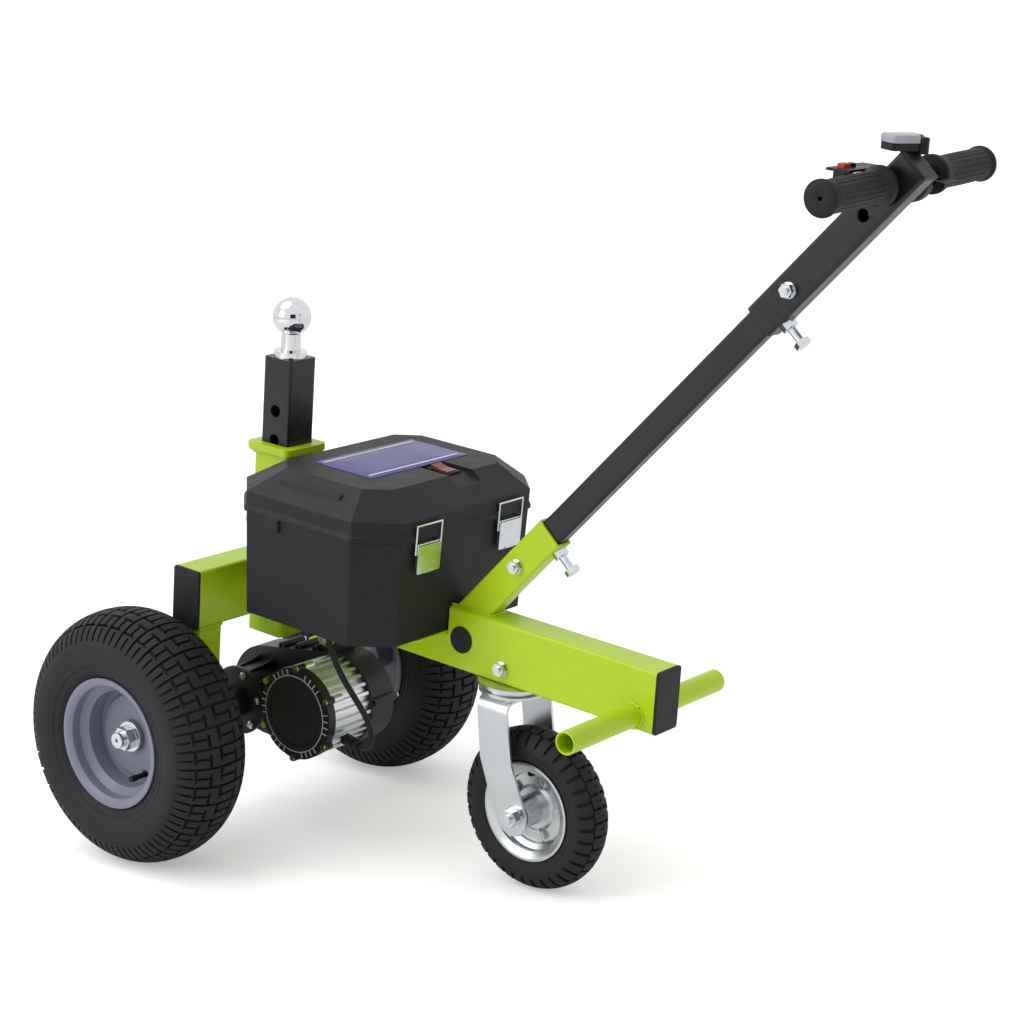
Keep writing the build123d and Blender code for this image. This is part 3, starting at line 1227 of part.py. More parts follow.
lead_radii = bend_radii(lead_points)
lead_path = FilletPolyline(*lead_points, radius=lead_radii)
motor_lead = sweep(Plane(origin=lead_path @ 0, z_dir=lead_path % 0) * Circle(lead_radius), path=lead_path)
print("lead radii", [round(r, 1) for r in lead_radii], "length", round(lead_path.length, 1))
lead_x, lead_y, lead_z = lead_points[0]
top_boot = rod_z(10, box_bottom - 4, box_bottom - 0.2, lead_x, lead_y) + rod_z(7, box_bottom - 12, box_bottom
                                                                               - 3, lead_x, lead_y)
top_boot -= rod_z(lead_radius + 0.3, box_bottom - 20, box_bottom + 1, lead_x, lead_y)
lead_end = Plane(origin=lead_path @ 1, z_dir=lead_path % 1)
end_boot = lead_end.location * (rod_z(8, 0.3, 26) + rod_z(6.5, -12, 1) - rod_z(lead_radius + 0.4, -14, 0.2))
end_boot -= rod_y(motor_core_radius + motor_fin_height + 0.2, -90, 10, motor_x, motor_z)
lead_boots = Part() + [top_boot, end_boot.solids().sort_by(Axis.X)[-1]]


# Nodes: every piece leaves the level frame for the pose in which the dolly stands on its three tyres
nodes = {"spine_tube": spine_tube, "cross_beam": cross_beam, "axle_legs": axle_legs,
         "receiver_tube": receiver_tube, "foot_bar": foot_bar, "handle_socket": handle_socket,
         "end_caps": end_caps, "hole_plugs": hole_plugs, "battery_tray": battery_tray,
         "motor_bracket": motor_bracket, "frame_bolts": frame_bolts, "gear_case": gear_case,
         "gear_case_cover": gear_case_cover, "case_bolts": case_bolts, "axle_tubes": axle_tubes,
         "bearings": bearings, "motor_body": motor_body, "motor_end_cap": motor_end_cap,
         "motor_screws": motor_screws, "motor_magnets": motor_magnets, "motor_lead": motor_lead,
         "lead_boots": lead_boots, "battery_box": battery_box, "batteries": batteries,
         "motor_controller": motor_controller, "latch_bases": latch_bases,
         "handle_lower_tube": handle_lower_tube, "handle_upper_tube": handle_upper_tube,
         "handlebar": handlebar, "grips": grips, "control_housing": control_housing,
         "control_cover": control_cover_plate, "throttle_housing": throttle_housing,
         "switch_plate": switch_plate, "caster_plate": caster_plate, "left_tyre": left_tyre,
         "left_rim": left_rim, "left_half_shaft": Part() + [left_shaft, left_nut], "right_tyre": right_tyre,
         "right_rim": right_rim, "right_half_shaft": Part() + [right_shaft, right_nut],
         "output_gear": output_gear, "idler_gear": idler, "rotor": rotor, "ball_post": ball_post,
         "tow_ball": tow_ball, "box_lid": box_lid, "switch_bezel": switch_bezel,
         "power_rocker": power_rocker, "left_latch_lever": left_latch_lever,
         "right_latch_lever": right_latch_lever, "left_latch_bail": left_latch_bail,
         "right_latch_bail": right_latch_bail, "throttle_lever": throttle_lever, "stop_button": stop_button,
         "caster_fork": caster_fork, "caster_axle": caster_axle, "caster_tyre": caster_tyre,
         "caster_rim": caster_rim + caster_rim_bolts, }
tipped = Pos(0, 0, tyre_radius) * Rot(0, pitch, 0) * Pos(0, 0, -tyre_radius)
placed = {name: tipped * shape for name, shape in nodes.items()}
boxes = [shape.bounding_box() for shape in placed.values()]
shift_x = -(min(b.min.X for b in boxes) + max(b.max.X for b in boxes)) / 2
for name, shape in placed.items():
    export_step(Pos(shift_x, 0, 0) * shape, f"parts/{name}.step")
print("pitch", round(pitch, 3), "shift", round(shift_x, 3), "nodes", len(nodes))
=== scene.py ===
import bpy
import bmesh
import math
from mathutils import Euler, Matrix, Vector


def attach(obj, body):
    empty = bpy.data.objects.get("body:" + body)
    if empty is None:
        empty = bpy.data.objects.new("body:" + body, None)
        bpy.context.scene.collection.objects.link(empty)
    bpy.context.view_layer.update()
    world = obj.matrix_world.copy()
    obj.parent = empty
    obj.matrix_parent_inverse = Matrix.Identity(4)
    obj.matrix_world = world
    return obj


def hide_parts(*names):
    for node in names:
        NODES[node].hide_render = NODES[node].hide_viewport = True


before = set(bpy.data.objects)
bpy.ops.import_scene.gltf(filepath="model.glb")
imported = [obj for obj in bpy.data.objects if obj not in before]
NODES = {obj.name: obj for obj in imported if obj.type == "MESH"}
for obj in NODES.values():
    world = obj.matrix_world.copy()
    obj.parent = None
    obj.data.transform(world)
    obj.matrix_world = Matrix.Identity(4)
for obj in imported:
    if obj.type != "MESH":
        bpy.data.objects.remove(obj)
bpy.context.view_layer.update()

bl_info = {
    "name": "Electric trailer dolly",
    "version": (1, 0, 0),
    "blender": (4, 5, 0),
    "location": "View3D > Sidebar > Dolly",
    "description": "Dresses the electric trailer dolly and sets its stage",
    "category": "Object",
}


class DollyFinish(bpy.types.PropertyGroup):
    """Colours and surface qualities of the dolly."""

    frame_green: bpy.props.FloatVectorProperty(
        name="Frame green", description="Powder paint of the welded frame", subtype="COLOR",
        size=4, min=0, max=1, default=(0.46, 0.66, 0.008, 1))
    tube_black: bpy.props.FloatVectorProperty(
        name="Tube black", description="Powder paint of the handle and the ball post", subtype="COLOR",
        size=4, min=0, max=1, default=(0.008, 0.0075, 0.009, 1))
    box_black: bpy.props.FloatVectorProperty(
        name="Box black", description="Moulded plastic of the battery box", subtype="COLOR",
        size=4, min=0, max=1, default=(0.0135, 0.013, 0.0155, 1))
    rim_grey: bpy.props.FloatVectorProperty(
        name="Rim grey", description="Paint of the drive rims", subtype="COLOR",
        size=4, min=0, max=1, default=(0.2, 0.208, 0.275, 1))
    tyre_black: bpy.props.FloatVectorProperty(
        name="Tyre black", description="Rubber of the tyres", subtype="COLOR",
        size=4, min=0, max=1, default=(0.0125, 0.0115, 0.0135, 1))
    label_blue: bpy.props.FloatVectorProperty(
        name="Label blue", description="Plain label on the lid", subtype="COLOR",
        size=4, min=0, max=1, default=(0.075, 0.07, 0.24, 1))
    paint_roughness: bpy.props.FloatProperty(
        name="Paint roughness", description="Roughness of the frame's paint", subtype="FACTOR",
        min=0, max=1, default=0.3)


class DollyDetail(bpy.types.PropertyGroup):
    """Sizes of the small shapes that are added to the dolly."""

    edge_round: bpy.props.FloatProperty(
        name="Edge rounding", description="Rounding along the edges of metal pieces", unit="LENGTH",
        min=0, max=0.005, default=0.0008)
    weld_radius: bpy.props.FloatProperty(
        name="Weld bead", description="Radius of the weld beads", unit="LENGTH",
        min=0.0005, max=0.006, default=0.0022)


class DollyStage(bpy.types.PropertyGroup):
    """Camera, floor and lamps."""

    lens: bpy.props.FloatProperty(
        name="Lens", description="Focal length of the camera in millimetres",
        min=10, max=300, default=82.66)
    floor_white: bpy.props.FloatProperty(
        name="Floor brightness", description="Brightness of the floor and the backdrop", subtype="FACTOR",
        min=0, max=1, default=1.0)
    sun_strength: bpy.props.FloatProperty(
        name="Top lamp", description="Strength of the broad lamp from above",
        min=0, max=10, default=1.0)
    key_power: bpy.props.FloatProperty(
        name="Near lamp", description="Power of the large lamp at the near side", subtype="POWER",
        min=0, max=2000, default=30)
    world_strength: bpy.props.FloatProperty(
        name="Surrounding light", description="Strength of the light from all round",
        min=0, max=3, default=0.62)


CAMERA_PLACE = (1.76843, -2.18534, 1.114284)
CAMERA_TURN = (80.03158, 0.573276, 38.884149)
CAMERA_SHIFT = (0.0116, -0.118)
FLOOR_HALF_SIDE = 14
FLOOR_LIFT = 0.35
SUN_SPREAD = 50
SUN_PLACE = (-1.0, -0.9, 3.0)
NEAR_LAMP_SIDE = 1.8
NEAR_LAMP_PLACE = (-1.5, -3.0, 1.7)
LAMP_AIM = (0, 0, 0.35)
CARD_PLACE = (3.6, -3.4, 1.4)
CARD_AIM = (0, 0, 0.5)
CARD_SCALE = (1.5, 1.1, 1.0)
CARD_HOLLOW = 0.08
CARD_COLOUR = (0.02, 0.02, 0.022, 1)
WHITE = (1, 1, 1, 1)


# Material helpers

def start_material(name):
    """New node material with its shader and object coordinates."""
    material = bpy.data.materials.new(name)
    material.use_nodes = True
    tree = material.node_tree
    shader = tree.nodes["Principled BSDF"]
    place = tree.nodes.new("ShaderNodeTexCoord")
    return material, tree, shader, place.outputs["Object"]


def noise(tree, place, scale, detail=4.0, rough=0.5, stretch=None):
    """Noise texture's value at object coordinates, stretched along the axes if asked."""
    if stretch:
        mapping = tree.nodes.new("ShaderNodeMapping")
        mapping.inputs["Scale"].default_value = stretch
        tree.links.new(place, mapping.inputs["Vector"])
        place = mapping.outputs["Vector"]
    texture = tree.nodes.new("ShaderNodeTexNoise")
    texture.inputs["Scale"].default_value = scale
    texture.inputs["Detail"].default_value = detail
    texture.inputs["Roughness"].default_value = rough
    tree.links.new(place, texture.inputs["Vector"])
    return texture.outputs["Fac"]


def spread(tree, value, low, high, start=0.3, end=0.7):
    """Value remapped from start..end to low..high."""
    node = tree.nodes.new("ShaderNodeMapRange")
    node.inputs["From Min"].default_value = start
    node.inputs["From Max"].default_value = end
    node.inputs["To Min"].default_value = low
    node.inputs["To Max"].default_value = high
    tree.links.new(value, node.inputs["Value"])
    return node.outputs["Result"]


def two_tone(tree, value, dark, light, start=0.3, end=0.7):
    """Colour between two colours as a value goes from start to end."""
    ramp = tree.nodes.new("ShaderNodeValToRGB")
    ramp.color_ramp.elements[0].position = start
    ramp.color_ramp.elements[0].color = dark
    ramp.color_ramp.elements[1].position = end
    ramp.color_ramp.elements[1].color = light
    tree.links.new(value, ramp.inputs["Fac"])
    return ramp.outputs["Color"]


def bump(tree, shader, value, strength, distance=0.001):
    """Bump the surface by a value."""
    node = tree.nodes.new("ShaderNodeBump")
    node.inputs["Strength"].default_value = strength
    node.inputs["Distance"].default_value = distance
    tree.links.new(value, node.inputs["Height"])
    tree.links.new(node.outputs["Normal"], shader.inputs["Normal"])


def shade(colour, factor):
    """The same colour, darker or lighter."""
    return tuple(min(1.0, c * factor) for c in colour[:3]) + (1.0,)


def tint(tree, shader, value, colour, dark, light):
    """Colours the surface between a darker and a lighter shade of one colour."""
    mix = two_tone(tree, value, shade(colour, dark), shade(colour, light))
    tree.links.new(mix, shader.inputs["Base Color"])


def powder_paint(name, colour, roughness, peel=0.12, coat=0.12):
    """Powder paint: slight orange peel, faint patches and a soft coat."""
    material, tree, shader, place = start_material(name)
    patches = noise(tree, place, 9.0, 3.0)
    tint(tree, shader, patches, colour, 0.93, 1.05)
    scuffs = noise(tree, place, 60.0, 6.0, 0.65)
    tree.links.new(spread(tree, scuffs, roughness - 0.05, roughness + 0.1), shader.inputs["Roughness"])
    shader.inputs["Specular IOR Level"].default_value = 0.35
    shader.inputs["Coat Weight"].default_value = coat
    shader.inputs["Coat Roughness"].default_value = 0.12
    bump(tree, shader, noise(tree, place, 420.0, 2.0), peel, 0.0004)
    return material


def moulded_plastic(name, colour, roughness, grain=0.25, scale=900.0):
    """Moulded plastic with a fine spark-eroded grain and faint rub marks."""
    material, tree, shader, place = start_material(name)
    shader.inputs["Specular IOR Level"].default_value = 0.25
    marks = noise(tree, place, 26.0, 5.0, 0.6)
    tint(tree, shader, marks, colour, 0.85, 1.2)
    tree.links.new(spread(tree, marks, roughness - 0.06, roughness + 0.08), shader.inputs["Roughness"])
    bump(tree, shader, noise(tree, place, scale, 2.0), grain, 0.0003)
    return material


def tyre_rubber(name, colour):
    """Tyre rubber: dull, with faint dust and a fine skin."""
    material, tree, shader, place = start_material(name)
    shader.inputs["Specular IOR Level"].default_value = 0.3
    dust = noise(tree, place, 30.0, 6.0, 0.6)
    tint(tree, shader, dust, colour, 0.8, 1.35)
    tree.links.new(spread(tree, dust, 0.55, 0.74), shader.inputs["Roughness"])
    bump(tree, shader, noise(tree, place, 700.0, 3.0), 0.2, 0.0003)
    return material


def bright_metal(name, colour, roughness, grain=0.05, brushed=None, scale=120.0):
    """Bare or plated metal with a cloudy finish, brushed along the stretched axis if asked."""
    material, tree, shader, place = start_material(name)
    shader.inputs["Metallic"].default_value = 1.0
    clouds = noise(tree, place, scale, 5.0, 0.6, brushed)
    tint(tree, shader, clouds, colour, 0.92, 1.04)
    tree.links.new(spread(tree, clouds, roughness * 0.8, roughness * 1.25), shader.inputs["Roughness"])
    bump(tree, shader, noise(tree, place, 300.0, 3.0), grain, 0.0004)
    return material


MATERIALS = {}


def make_materials(finish):
    """All the dolly's materials, by name."""
    green, tube = tuple(finish.frame_green), tuple(finish.tube_black)
    box, rim, rubber = tuple(finish.box_black), tuple(finish.rim_grey), tuple(finish.tyre_black)
    zinc, sheet = (0.66, 0.69, 0.72, 1), (0.62, 0.64, 0.66, 1)
    MATERIALS.update({
        "frame_paint": powder_paint("Lime powder paint", green, finish.paint_roughness, 0.06),
        "tube_paint": powder_paint("Black powder paint", tube, 0.3, 0.08),
        "rim_paint": powder_paint("Grey rim paint", rim, 0.33, 0.05),
        "case_paint": powder_paint("Black case paint", shade(tube, 1.3), 0.42, 0.25, 0.1),
        "box_plastic": moulded_plastic("Battery box plastic", box, 0.5),
        "dark_plastic": moulded_plastic("Dark moulded plastic", shade(box, 0.75), 0.42, 0.15),
        "silver_plastic": moulded_plastic("Silver plastic", (0.42, 0.41, 0.45, 1), 0.32, 0.05),
        "red_plastic": moulded_plastic("Red plastic", (0.6, 0.05, 0.02, 1), 0.28, 0.04),
        "rocker_red": moulded_plastic("Dark red plastic", (0.22, 0.04, 0.025, 1), 0.22, 0.02),
        "battery_plastic": moulded_plastic("Battery plastic", (0.05, 0.055, 0.06, 1), 0.5),
        "tyre_rubber": tyre_rubber("Tyre rubber", rubber),
        "grip_rubber": moulded_plastic("Grip rubber", shade(rubber, 0.9), 0.55, 0.3, 600.0),
        "lead_rubber": moulded_plastic("Lead sleeve", shade(rubber, 0.8), 0.42, 0.1),
        "zinc": bright_metal("Zinc plating", zinc, 0.2),
        "zinc_sheet": bright_metal("Zinc plated sheet", sheet, 0.3, 0.04, None, 22.0),
        "chrome": bright_metal("Chrome", (0.7, 0.71, 0.73, 1), 0.04, 0.0),
        "steel": bright_metal("Machined steel", (0.6, 0.6, 0.61, 1), 0.28, 0.04, (1, 12, 1)),
        "cast_alloy": bright_metal("Cast alloy", (0.74, 0.75, 0.77, 1), 0.34, 0.2),
        "brass": bright_metal("Brass", (0.78, 0.6, 0.27, 1), 0.26),
        "magnet": bright_metal("Magnet", (0.2, 0.2, 0.21, 1), 0.5, 0.1),
        "label": moulded_plastic("Blue label", tuple(finish.label_blue), 0.3, 0.02),
        "label_edge": moulded_plastic("Pale label line", (0.62, 0.63, 0.68, 1), 0.35, 0.02),
    })


FINISH_OF = {
    "frame_paint": "spine_tube cross_beam axle_legs receiver_tube foot_bar handle_socket battery_tray "
                   "motor_bracket",
    "tube_paint": "handle_lower_tube handle_upper_tube handlebar ball_post axle_tubes motor_controller",
    "rim_paint": "left_rim right_rim",
    "case_paint": "gear_case gear_case_cover motor_end_cap",
    "box_plastic": "battery_box box_lid end_caps hole_plugs",
    "dark_plastic": "control_housing throttle_housing throttle_lever switch_plate switch_bezel",
    "silver_plastic": "control_cover",
    "red_plastic": "stop_button",
    "rocker_red": "power_rocker",
    "battery_plastic": "batteries",
    "tyre_rubber": "left_tyre right_tyre caster_tyre",
    "grip_rubber": "grips lead_boots",
    "lead_rubber": "motor_lead",
    "zinc": "frame_bolts case_bolts latch_bases left_half_shaft right_half_shaft left_latch_lever "
            "right_latch_lever left_latch_bail right_latch_bail caster_axle",
    "zinc_sheet": "caster_plate caster_fork caster_rim",
    "chrome": "tow_ball",
    "steel": "bearings output_gear idler_gear rotor",
    "cast_alloy": "motor_body",
    "brass": "motor_screws",
    "magnet": "motor_magnets",
}
NO_ROUNDING = ("left_tyre right_tyre caster_tyre output_gear idler_gear rotor motor_lead motor_screws "
               "bearings left_latch_bail right_latch_bail tow_ball motor_magnets").split()
MOULDED_SHELLS = ("battery_box", "box_lid")
SHELL_ROUNDING = 0.003
JOIN_DISTANCE = 0.00001
FLAT_ANGLE = 0.5
EDGE_ANGLE = 38


def dress(name, material, rounding):
    """Gives a carried piece its material and softened edges."""
    piece = NODES[name]
    piece.data.materials.clear()
    piece.data.materials.append(material)
    if name in NO_ROUNDING or rounding <= 0:
        return
    weld = piece.modifiers.new("Join", "WELD")
    weld.merge_threshold = JOIN_DISTANCE
    flat = piece.modifiers.new("Whole flat faces", "DECIMATE")
    flat.decimate_type = "DISSOLVE"
    flat.angle_limit = math.radians(FLAT_ANGLE)
    soften = piece.modifiers.new("Soft edges", "BEVEL")
    soften.width = SHELL_ROUNDING if name in MOULDED_SHELLS else rounding
    soften.segments = 2
    soften.limit_method = "ANGLE"
    soften.angle_limit = math.radians(EDGE_ANGLE)
    soften.harden_normals = False
    smooth = piece.modifiers.new("Even shading", "WEIGHTED_NORMAL")
    smooth.keep_sharp = True


def dress_group(context, *finishes):
    """Dresses every carried piece of the named finishes."""
    rounding = context.scene.dolly_detail.edge_round
    for finish in finishes:
        for name in FINISH_OF[finish].split():
            dress(name, MATERIALS[finish], rounding)


def add_object(name, mesh, material, body):
    """New piece from a mesh, riding on a body."""
    piece = bpy.data.objects.new(name, mesh)
    bpy.context.scene.collection.objects.link(piece)
    if material is not None:
        mesh.materials.append(material)
    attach(piece, body)
    return piece


# Stage

class DOLLY_OT_stage(bpy.types.Operator):
    """Set the floor, the lamps and the camera at the photograph's angle"""

    bl_idname = "dolly.stage"
    bl_label = "Stage"

    def execute(self, context):
        stage = context.scene.dolly_stage
        scene = context.scene
        scene.view_settings.view_transform = "Standard"
        camera_data = bpy.data.cameras.new("Camera")
        camera_data.lens = stage.lens
        camera_data.sensor_width = 36
        camera_data.shift_x, camera_data.shift_y = CAMERA_SHIFT
        camera_data.clip_end = 60
        camera = bpy.data.objects.new("Camera", camera_data)
        camera.location = CAMERA_PLACE
        camera.rotation_euler = Euler([math.radians(a) for a in CAMERA_TURN], "XYZ")
        scene.collection.objects.link(camera)
        scene.camera = camera
        make_floor(stage.floor_white)
        make_world(stage.world_strength)
        make_lamps(stage)
        make_card()
        return {"FINISHED"}


def make_floor(white):
    """Large pale floor that the camera sees as plain white round the object's shadow."""
    mesh = bpy.data.meshes.new("Floor")
    form = bmesh.new()
    bmesh.ops.create_grid(form, x_segments=1, y_segments=1, size=FLOOR_HALF_SIDE)
    form.to_mesh(mesh)
    form.free()
    floor = bpy.data.objects.new("Floor", mesh)
    bpy.context.scene.collection.objects.link(floor)
    material = bpy.data.materials.new("Pale floor")
    material.use_nodes = True
    tree = material.node_tree
    shader = tree.nodes["Principled BSDF"]
    shader.inputs["Base Color"].default_value = (white, white, white, 1)
    shader.inputs["Roughness"].default_value = 0.9
    shader.inputs["Emission Color"].default_value = WHITE
    path = tree.nodes.new("ShaderNodeLightPath")
    lift = tree.nodes.new("ShaderNodeMath")
    lift.operation = "MULTIPLY"
    lift.inputs[1].default_value = FLOOR_LIFT
    tree.links.new(path.outputs["Is Camera Ray"], lift.inputs[0])
    tree.links.new(lift.outputs[0], shader.inputs["Emission Strength"])
    mesh.materials.append(material)


def make_world(strength):
    """Even surrounding light that the camera, metal and glass see as plain white."""
    world = bpy.data.worlds.new("Surround")
    bpy.context.scene.world = world
    world.use_nodes = True
    tree = world.node_tree
    even = tree.nodes["Background"]
    even.inputs["Color"].default_value = WHITE
    even.inputs["Strength"].default_value = strength
    seen = tree.nodes.new("ShaderNodeBackground")
    seen.inputs["Color"].default_value = WHITE
    seen.inputs["Strength"].default_value = 1.0
    path = tree.nodes.new("ShaderNodeLightPath")
    either = path.outputs["Is Camera Ray"]
    for other in ("Is Glossy Ray", "Is Transmission Ray"):
        larger = tree.nodes.new("ShaderNodeMath")
        larger.operation = "MAXIMUM"
        tree.links.new(either, larger.inputs[0])
        tree.links.new(path.outputs[other], larger.inputs[1])
        either = larger.outputs[0]
    mix = tree.nodes.new("ShaderNodeMixShader")
    tree.links.new(either, mix.inputs["Fac"])
    tree.links.new(even.outputs["Background"], mix.inputs[1])
    tree.links.new(seen.outputs["Background"], mix.inputs[2])
    tree.links.new(mix.outputs["Shader"], tree.nodes["World Output"].inputs["Surface"])


def make_lamps(stage):
    """Sun-like lamp from above the left and a large soft lamp at the near side."""
    sun = bpy.data.lights.new("Top lamp", "SUN")
    sun.energy = stage.sun_strength
    sun.angle = math.radians(SUN_SPREAD)
    near = bpy.data.lights.new("Near lamp", "AREA")
    near.energy = stage.key_power
    near.size = NEAR_LAMP_SIDE
    for name, data, where in (("Top lamp", sun, SUN_PLACE), ("Near lamp", near, NEAR_LAMP_PLACE)):
        lamp = bpy.data.objects.new(name, data)
        lamp.location = where
        lamp.rotation_euler = (Vector(LAMP_AIM) - Vector(where)).to_track_quat("-Z", "Y").to_euler()
        bpy.context.scene.collection.objects.link(lamp)


def make_card():
    """Dark upright card that only mirrors see, which gives bright metal something dark to show."""
    mesh = bpy.data.meshes.new("Dark_card")
    form = bmesh.new()
    bmesh.ops.create_grid(form, x_segments=6, y_segments=6, size=1.0)
    for corner in form.verts:
        corner.co.z = CARD_HOLLOW * (corner.co.x ** 2 + corner.co.y ** 2)
    form.to_mesh(mesh)
    form.free()
    card = bpy.data.objects.new("Dark_card", mesh)
    card.location = CARD_PLACE
    card.rotation_euler = (Vector(CARD_AIM) - card.location).to_track_quat("Z", "Y").to_euler()
    card.scale = CARD_SCALE
    card.visible_camera = False
    bpy.context.scene.collection.objects.link(card)
    material = bpy.data.materials.new("Dark card")
    material.use_nodes = True
    shader = material.node_tree.nodes["Principled BSDF"]
    shader.inputs["Base Color"].default_value = CARD_COLOUR
    shader.inputs["Roughness"].default_value = 0.9
    mesh.materials.append(material)


# Places and meshes

AXLE_X, AXLE_Z = -415.846, 165.0
PITCH = math.radians(5.295108)


def stood(point):
    """A place in level-frame millimetres, moved to where it is on the standing dolly, in metres."""
    x, y, z = point
    rise = z - AXLE_Z
    return Vector((AXLE_X + x * math.cos(PITCH) + rise * math.sin(PITCH), y,
                   AXLE_Z - x * math.sin(PITCH) + rise * math.cos(PITCH))) / 1000


def circle(count):
    """Cosine and sine of evenly spaced angles round a circle."""
    for j in range(count):
        a = 2 * math.pi * j / count
        yield math.cos(a), math.sin(a)


def ring_mesh(name, rings, closed_ends=False):
    """Smooth mesh through rings of points, each ring closed on itself."""
    count = len(rings[0])
    points = [p for ring in rings for p in ring]
    faces = []
    for i in range(len(rings) - 1):
        for j in range(count):
            k = (j + 1) % count
            faces.append((i * count + j, i * count + k, (i + 1) * count + k, (i + 1) * count + j))
    if closed_ends:
        faces.append(tuple(reversed(range(count))))
        faces.append(tuple((len(rings) - 1) * count + j for j in range(count)))
    mesh = bpy.data.meshes.new(name)
    mesh.from_pydata(points, [], faces)
    form = bmesh.new()
    form.from_mesh(mesh)
    bmesh.ops.recalc_face_normals(form, faces=form.faces)
    form.to_mesh(mesh)
    form.free()
    mesh.shade_smooth()
    return mesh


def out_and_across(angle):
    """Outward direction at an angle round an axis along Y, and the direction across it."""
    return Vector((math.cos(angle), 0, math.sin(angle))), Vector((-math.sin(angle), 0, math.cos(angle)))


def turned_rings(profile, centre, steps):
    """Rings for a profile of (radius, place) points turned about an axis along Y."""
    return [[(centre[0] + radius * c, centre[1] + along, centre[2] + radius * s)
             for c, s in circle(steps)] for radius, along in profile]


def keep_edges(mesh, angle):
    """Smooth shading that keeps edges sharper than an angle."""
    mesh.shade_smooth()
    mesh.set_sharp_from_angle(angle=math.radians(angle))


def merge_parts(name, parts, angle=35.0):
    """One mesh from several, which are used up, smooth all over if there is no angle."""
    form = bmesh.new()
    for part in parts:
        form.from_mesh(part)
        bpy.data.meshes.remove(part)
    mesh = bpy.data.meshes.new(name)
    form.to_mesh(mesh)
    form.free()
    if angle is None:
        mesh.shade_smooth()
    else:
        keep_edges(mesh, angle)
    return mesh


# Tyres

TURF_MARKS = (-0.88, -0.46, -0.16, 0.24, 0.54, 0.92)
TURF_ACROSS = ((-0.88, -0.46), (-0.16, 0.24), (0.54, 0.92))
TURF_ALONG = ((-0.46, 0.13, 0.63), (-0.16, 0.50, 1.0), (0.24, 0.13, 0.63), (0.54, 0.50, 1.0),
              (-0.88, 0.5, 1.0), (0.92, 0.13, 0.63))
TURF_LINES = (0.0, 0.015, 0.115, 0.13, 0.3, 0.49, 0.505, 0.615, 0.63, 0.8, 0.985)
BLOCK_MARKS = (-0.62, -0.56, 0.56, 0.62, 0.05, -0.05)
BLOCK_LINES = (0.0, 0.02, 0.14, 0.16, 0.28, 0.30, 0.485, 0.5, 0.66, 0.68, 0.84, 0.98)
DRIVE_Y = 232.5
DRIVE_PITCHES, DRIVE_DEPTH = 40, 4.6
CASTER_HUB = (470.6, 0, 146.35)
CASTER_PITCHES, CASTER_DEPTH = 36, 3.6


def turf_groove(u, v):
    """1 in a groove of the turf tread and 0 on a lug, u along the pitch and v across the tread."""
    if u < 0.12:
        return 1.0
    if 0.50 <= u <= 0.62 and any(a <= v <= b for a, b in TURF_ACROSS):
        return 1.0
    if 0.50 <= u <= 0.62 and abs(v) > 0.97:
        return 0.8
    for place, start, end in TURF_ALONG:
        if abs(v - place) <= 0.035 and start - 0.13 <= u <= end:
            return 1.0
    return 0.0


def block_groove(u, v):
    """Tread of the caster: staggered blocks with deep notches at the shoulders."""
    if abs(v) > 0.62:
        return 1.0 if u < 0.3 else 0.0
    if abs(v) > 0.56:
        return 0.7
    if 0.05 < abs(v) <= 0.56:
        return 1.0 if 0.5 <= u < 0.68 else 0.0
    return 1.0 if u < 0.16 else 0.0


def tyre_profile(crown, across_lines, sidewall):
    """Section of a tyre from side to side: ((radius, place), v, groove share), v beyond 1 on the walls."""
    profile = [((r, -y), -1.5, share) for r, y, share in reversed(sidewall)]
    profile += [(crown(v), v, 1.0) for v in across_lines]
    return profile + [((r, y), 1.5, share) for r, y, share in sidewall]


def tyre_mesh(name, centre, profile, pitches, groove, along_lines, depth, phase):
    """Tyre from its section and a tread pattern that repeats once in each pitch."""
    rings = []
    for i, ((radius, place), v, share) in enumerate(profile):
        before = profile[max(i - 1, 0)][0]
        after = profile[min(i + 1, len(profile) - 1)][0]
        along = Vector((after[0] - before[0], after[1] - before[1])).normalized()
        inward = Vector((-along[1], along[0]))
        outward = inward[0] if abs(v) <= 1 else inward[1] * place
        if outward > 0:
            inward = -inward
        ring = []
        for pitch in range(pitches):
            for u in along_lines:
                cut = depth * share * groove(u, max(-1.0, min(1.0, v)))
                r, y = radius + inward[0] * cut, place + inward[1] * cut
                a = 2 * math.pi * (pitch + u + phase) / pitches
                ring.append((centre + Vector((r * math.sin(a), y, -r * math.cos(a)))) / 1000)
        rings.append(ring)
    mesh = ring_mesh(name, rings)
    keep_edges(mesh, 40)
    return mesh


def walled(places, half):
    """Each place twice, just before and just after it, for steep groove walls."""
    return {round(p + s * half, 4) for p in places for s in (-1, 1)}


def drive_crown(v):
    """Radius and place of the drive tyre's tread at v."""
    turn = math.radians(51.8 * abs(v))
    return 122.0 + 43.0 * math.cos(turn), math.copysign(57.0 * math.sin(turn) ** 0.889, v)


def caster_crown(v):
    """Radius and place of the caster tyre's tread at v."""
    turn = math.radians(50.0 * v)
    return 79.0 + 24.0 * math.cos(turn), 27.0 * math.sin(turn)


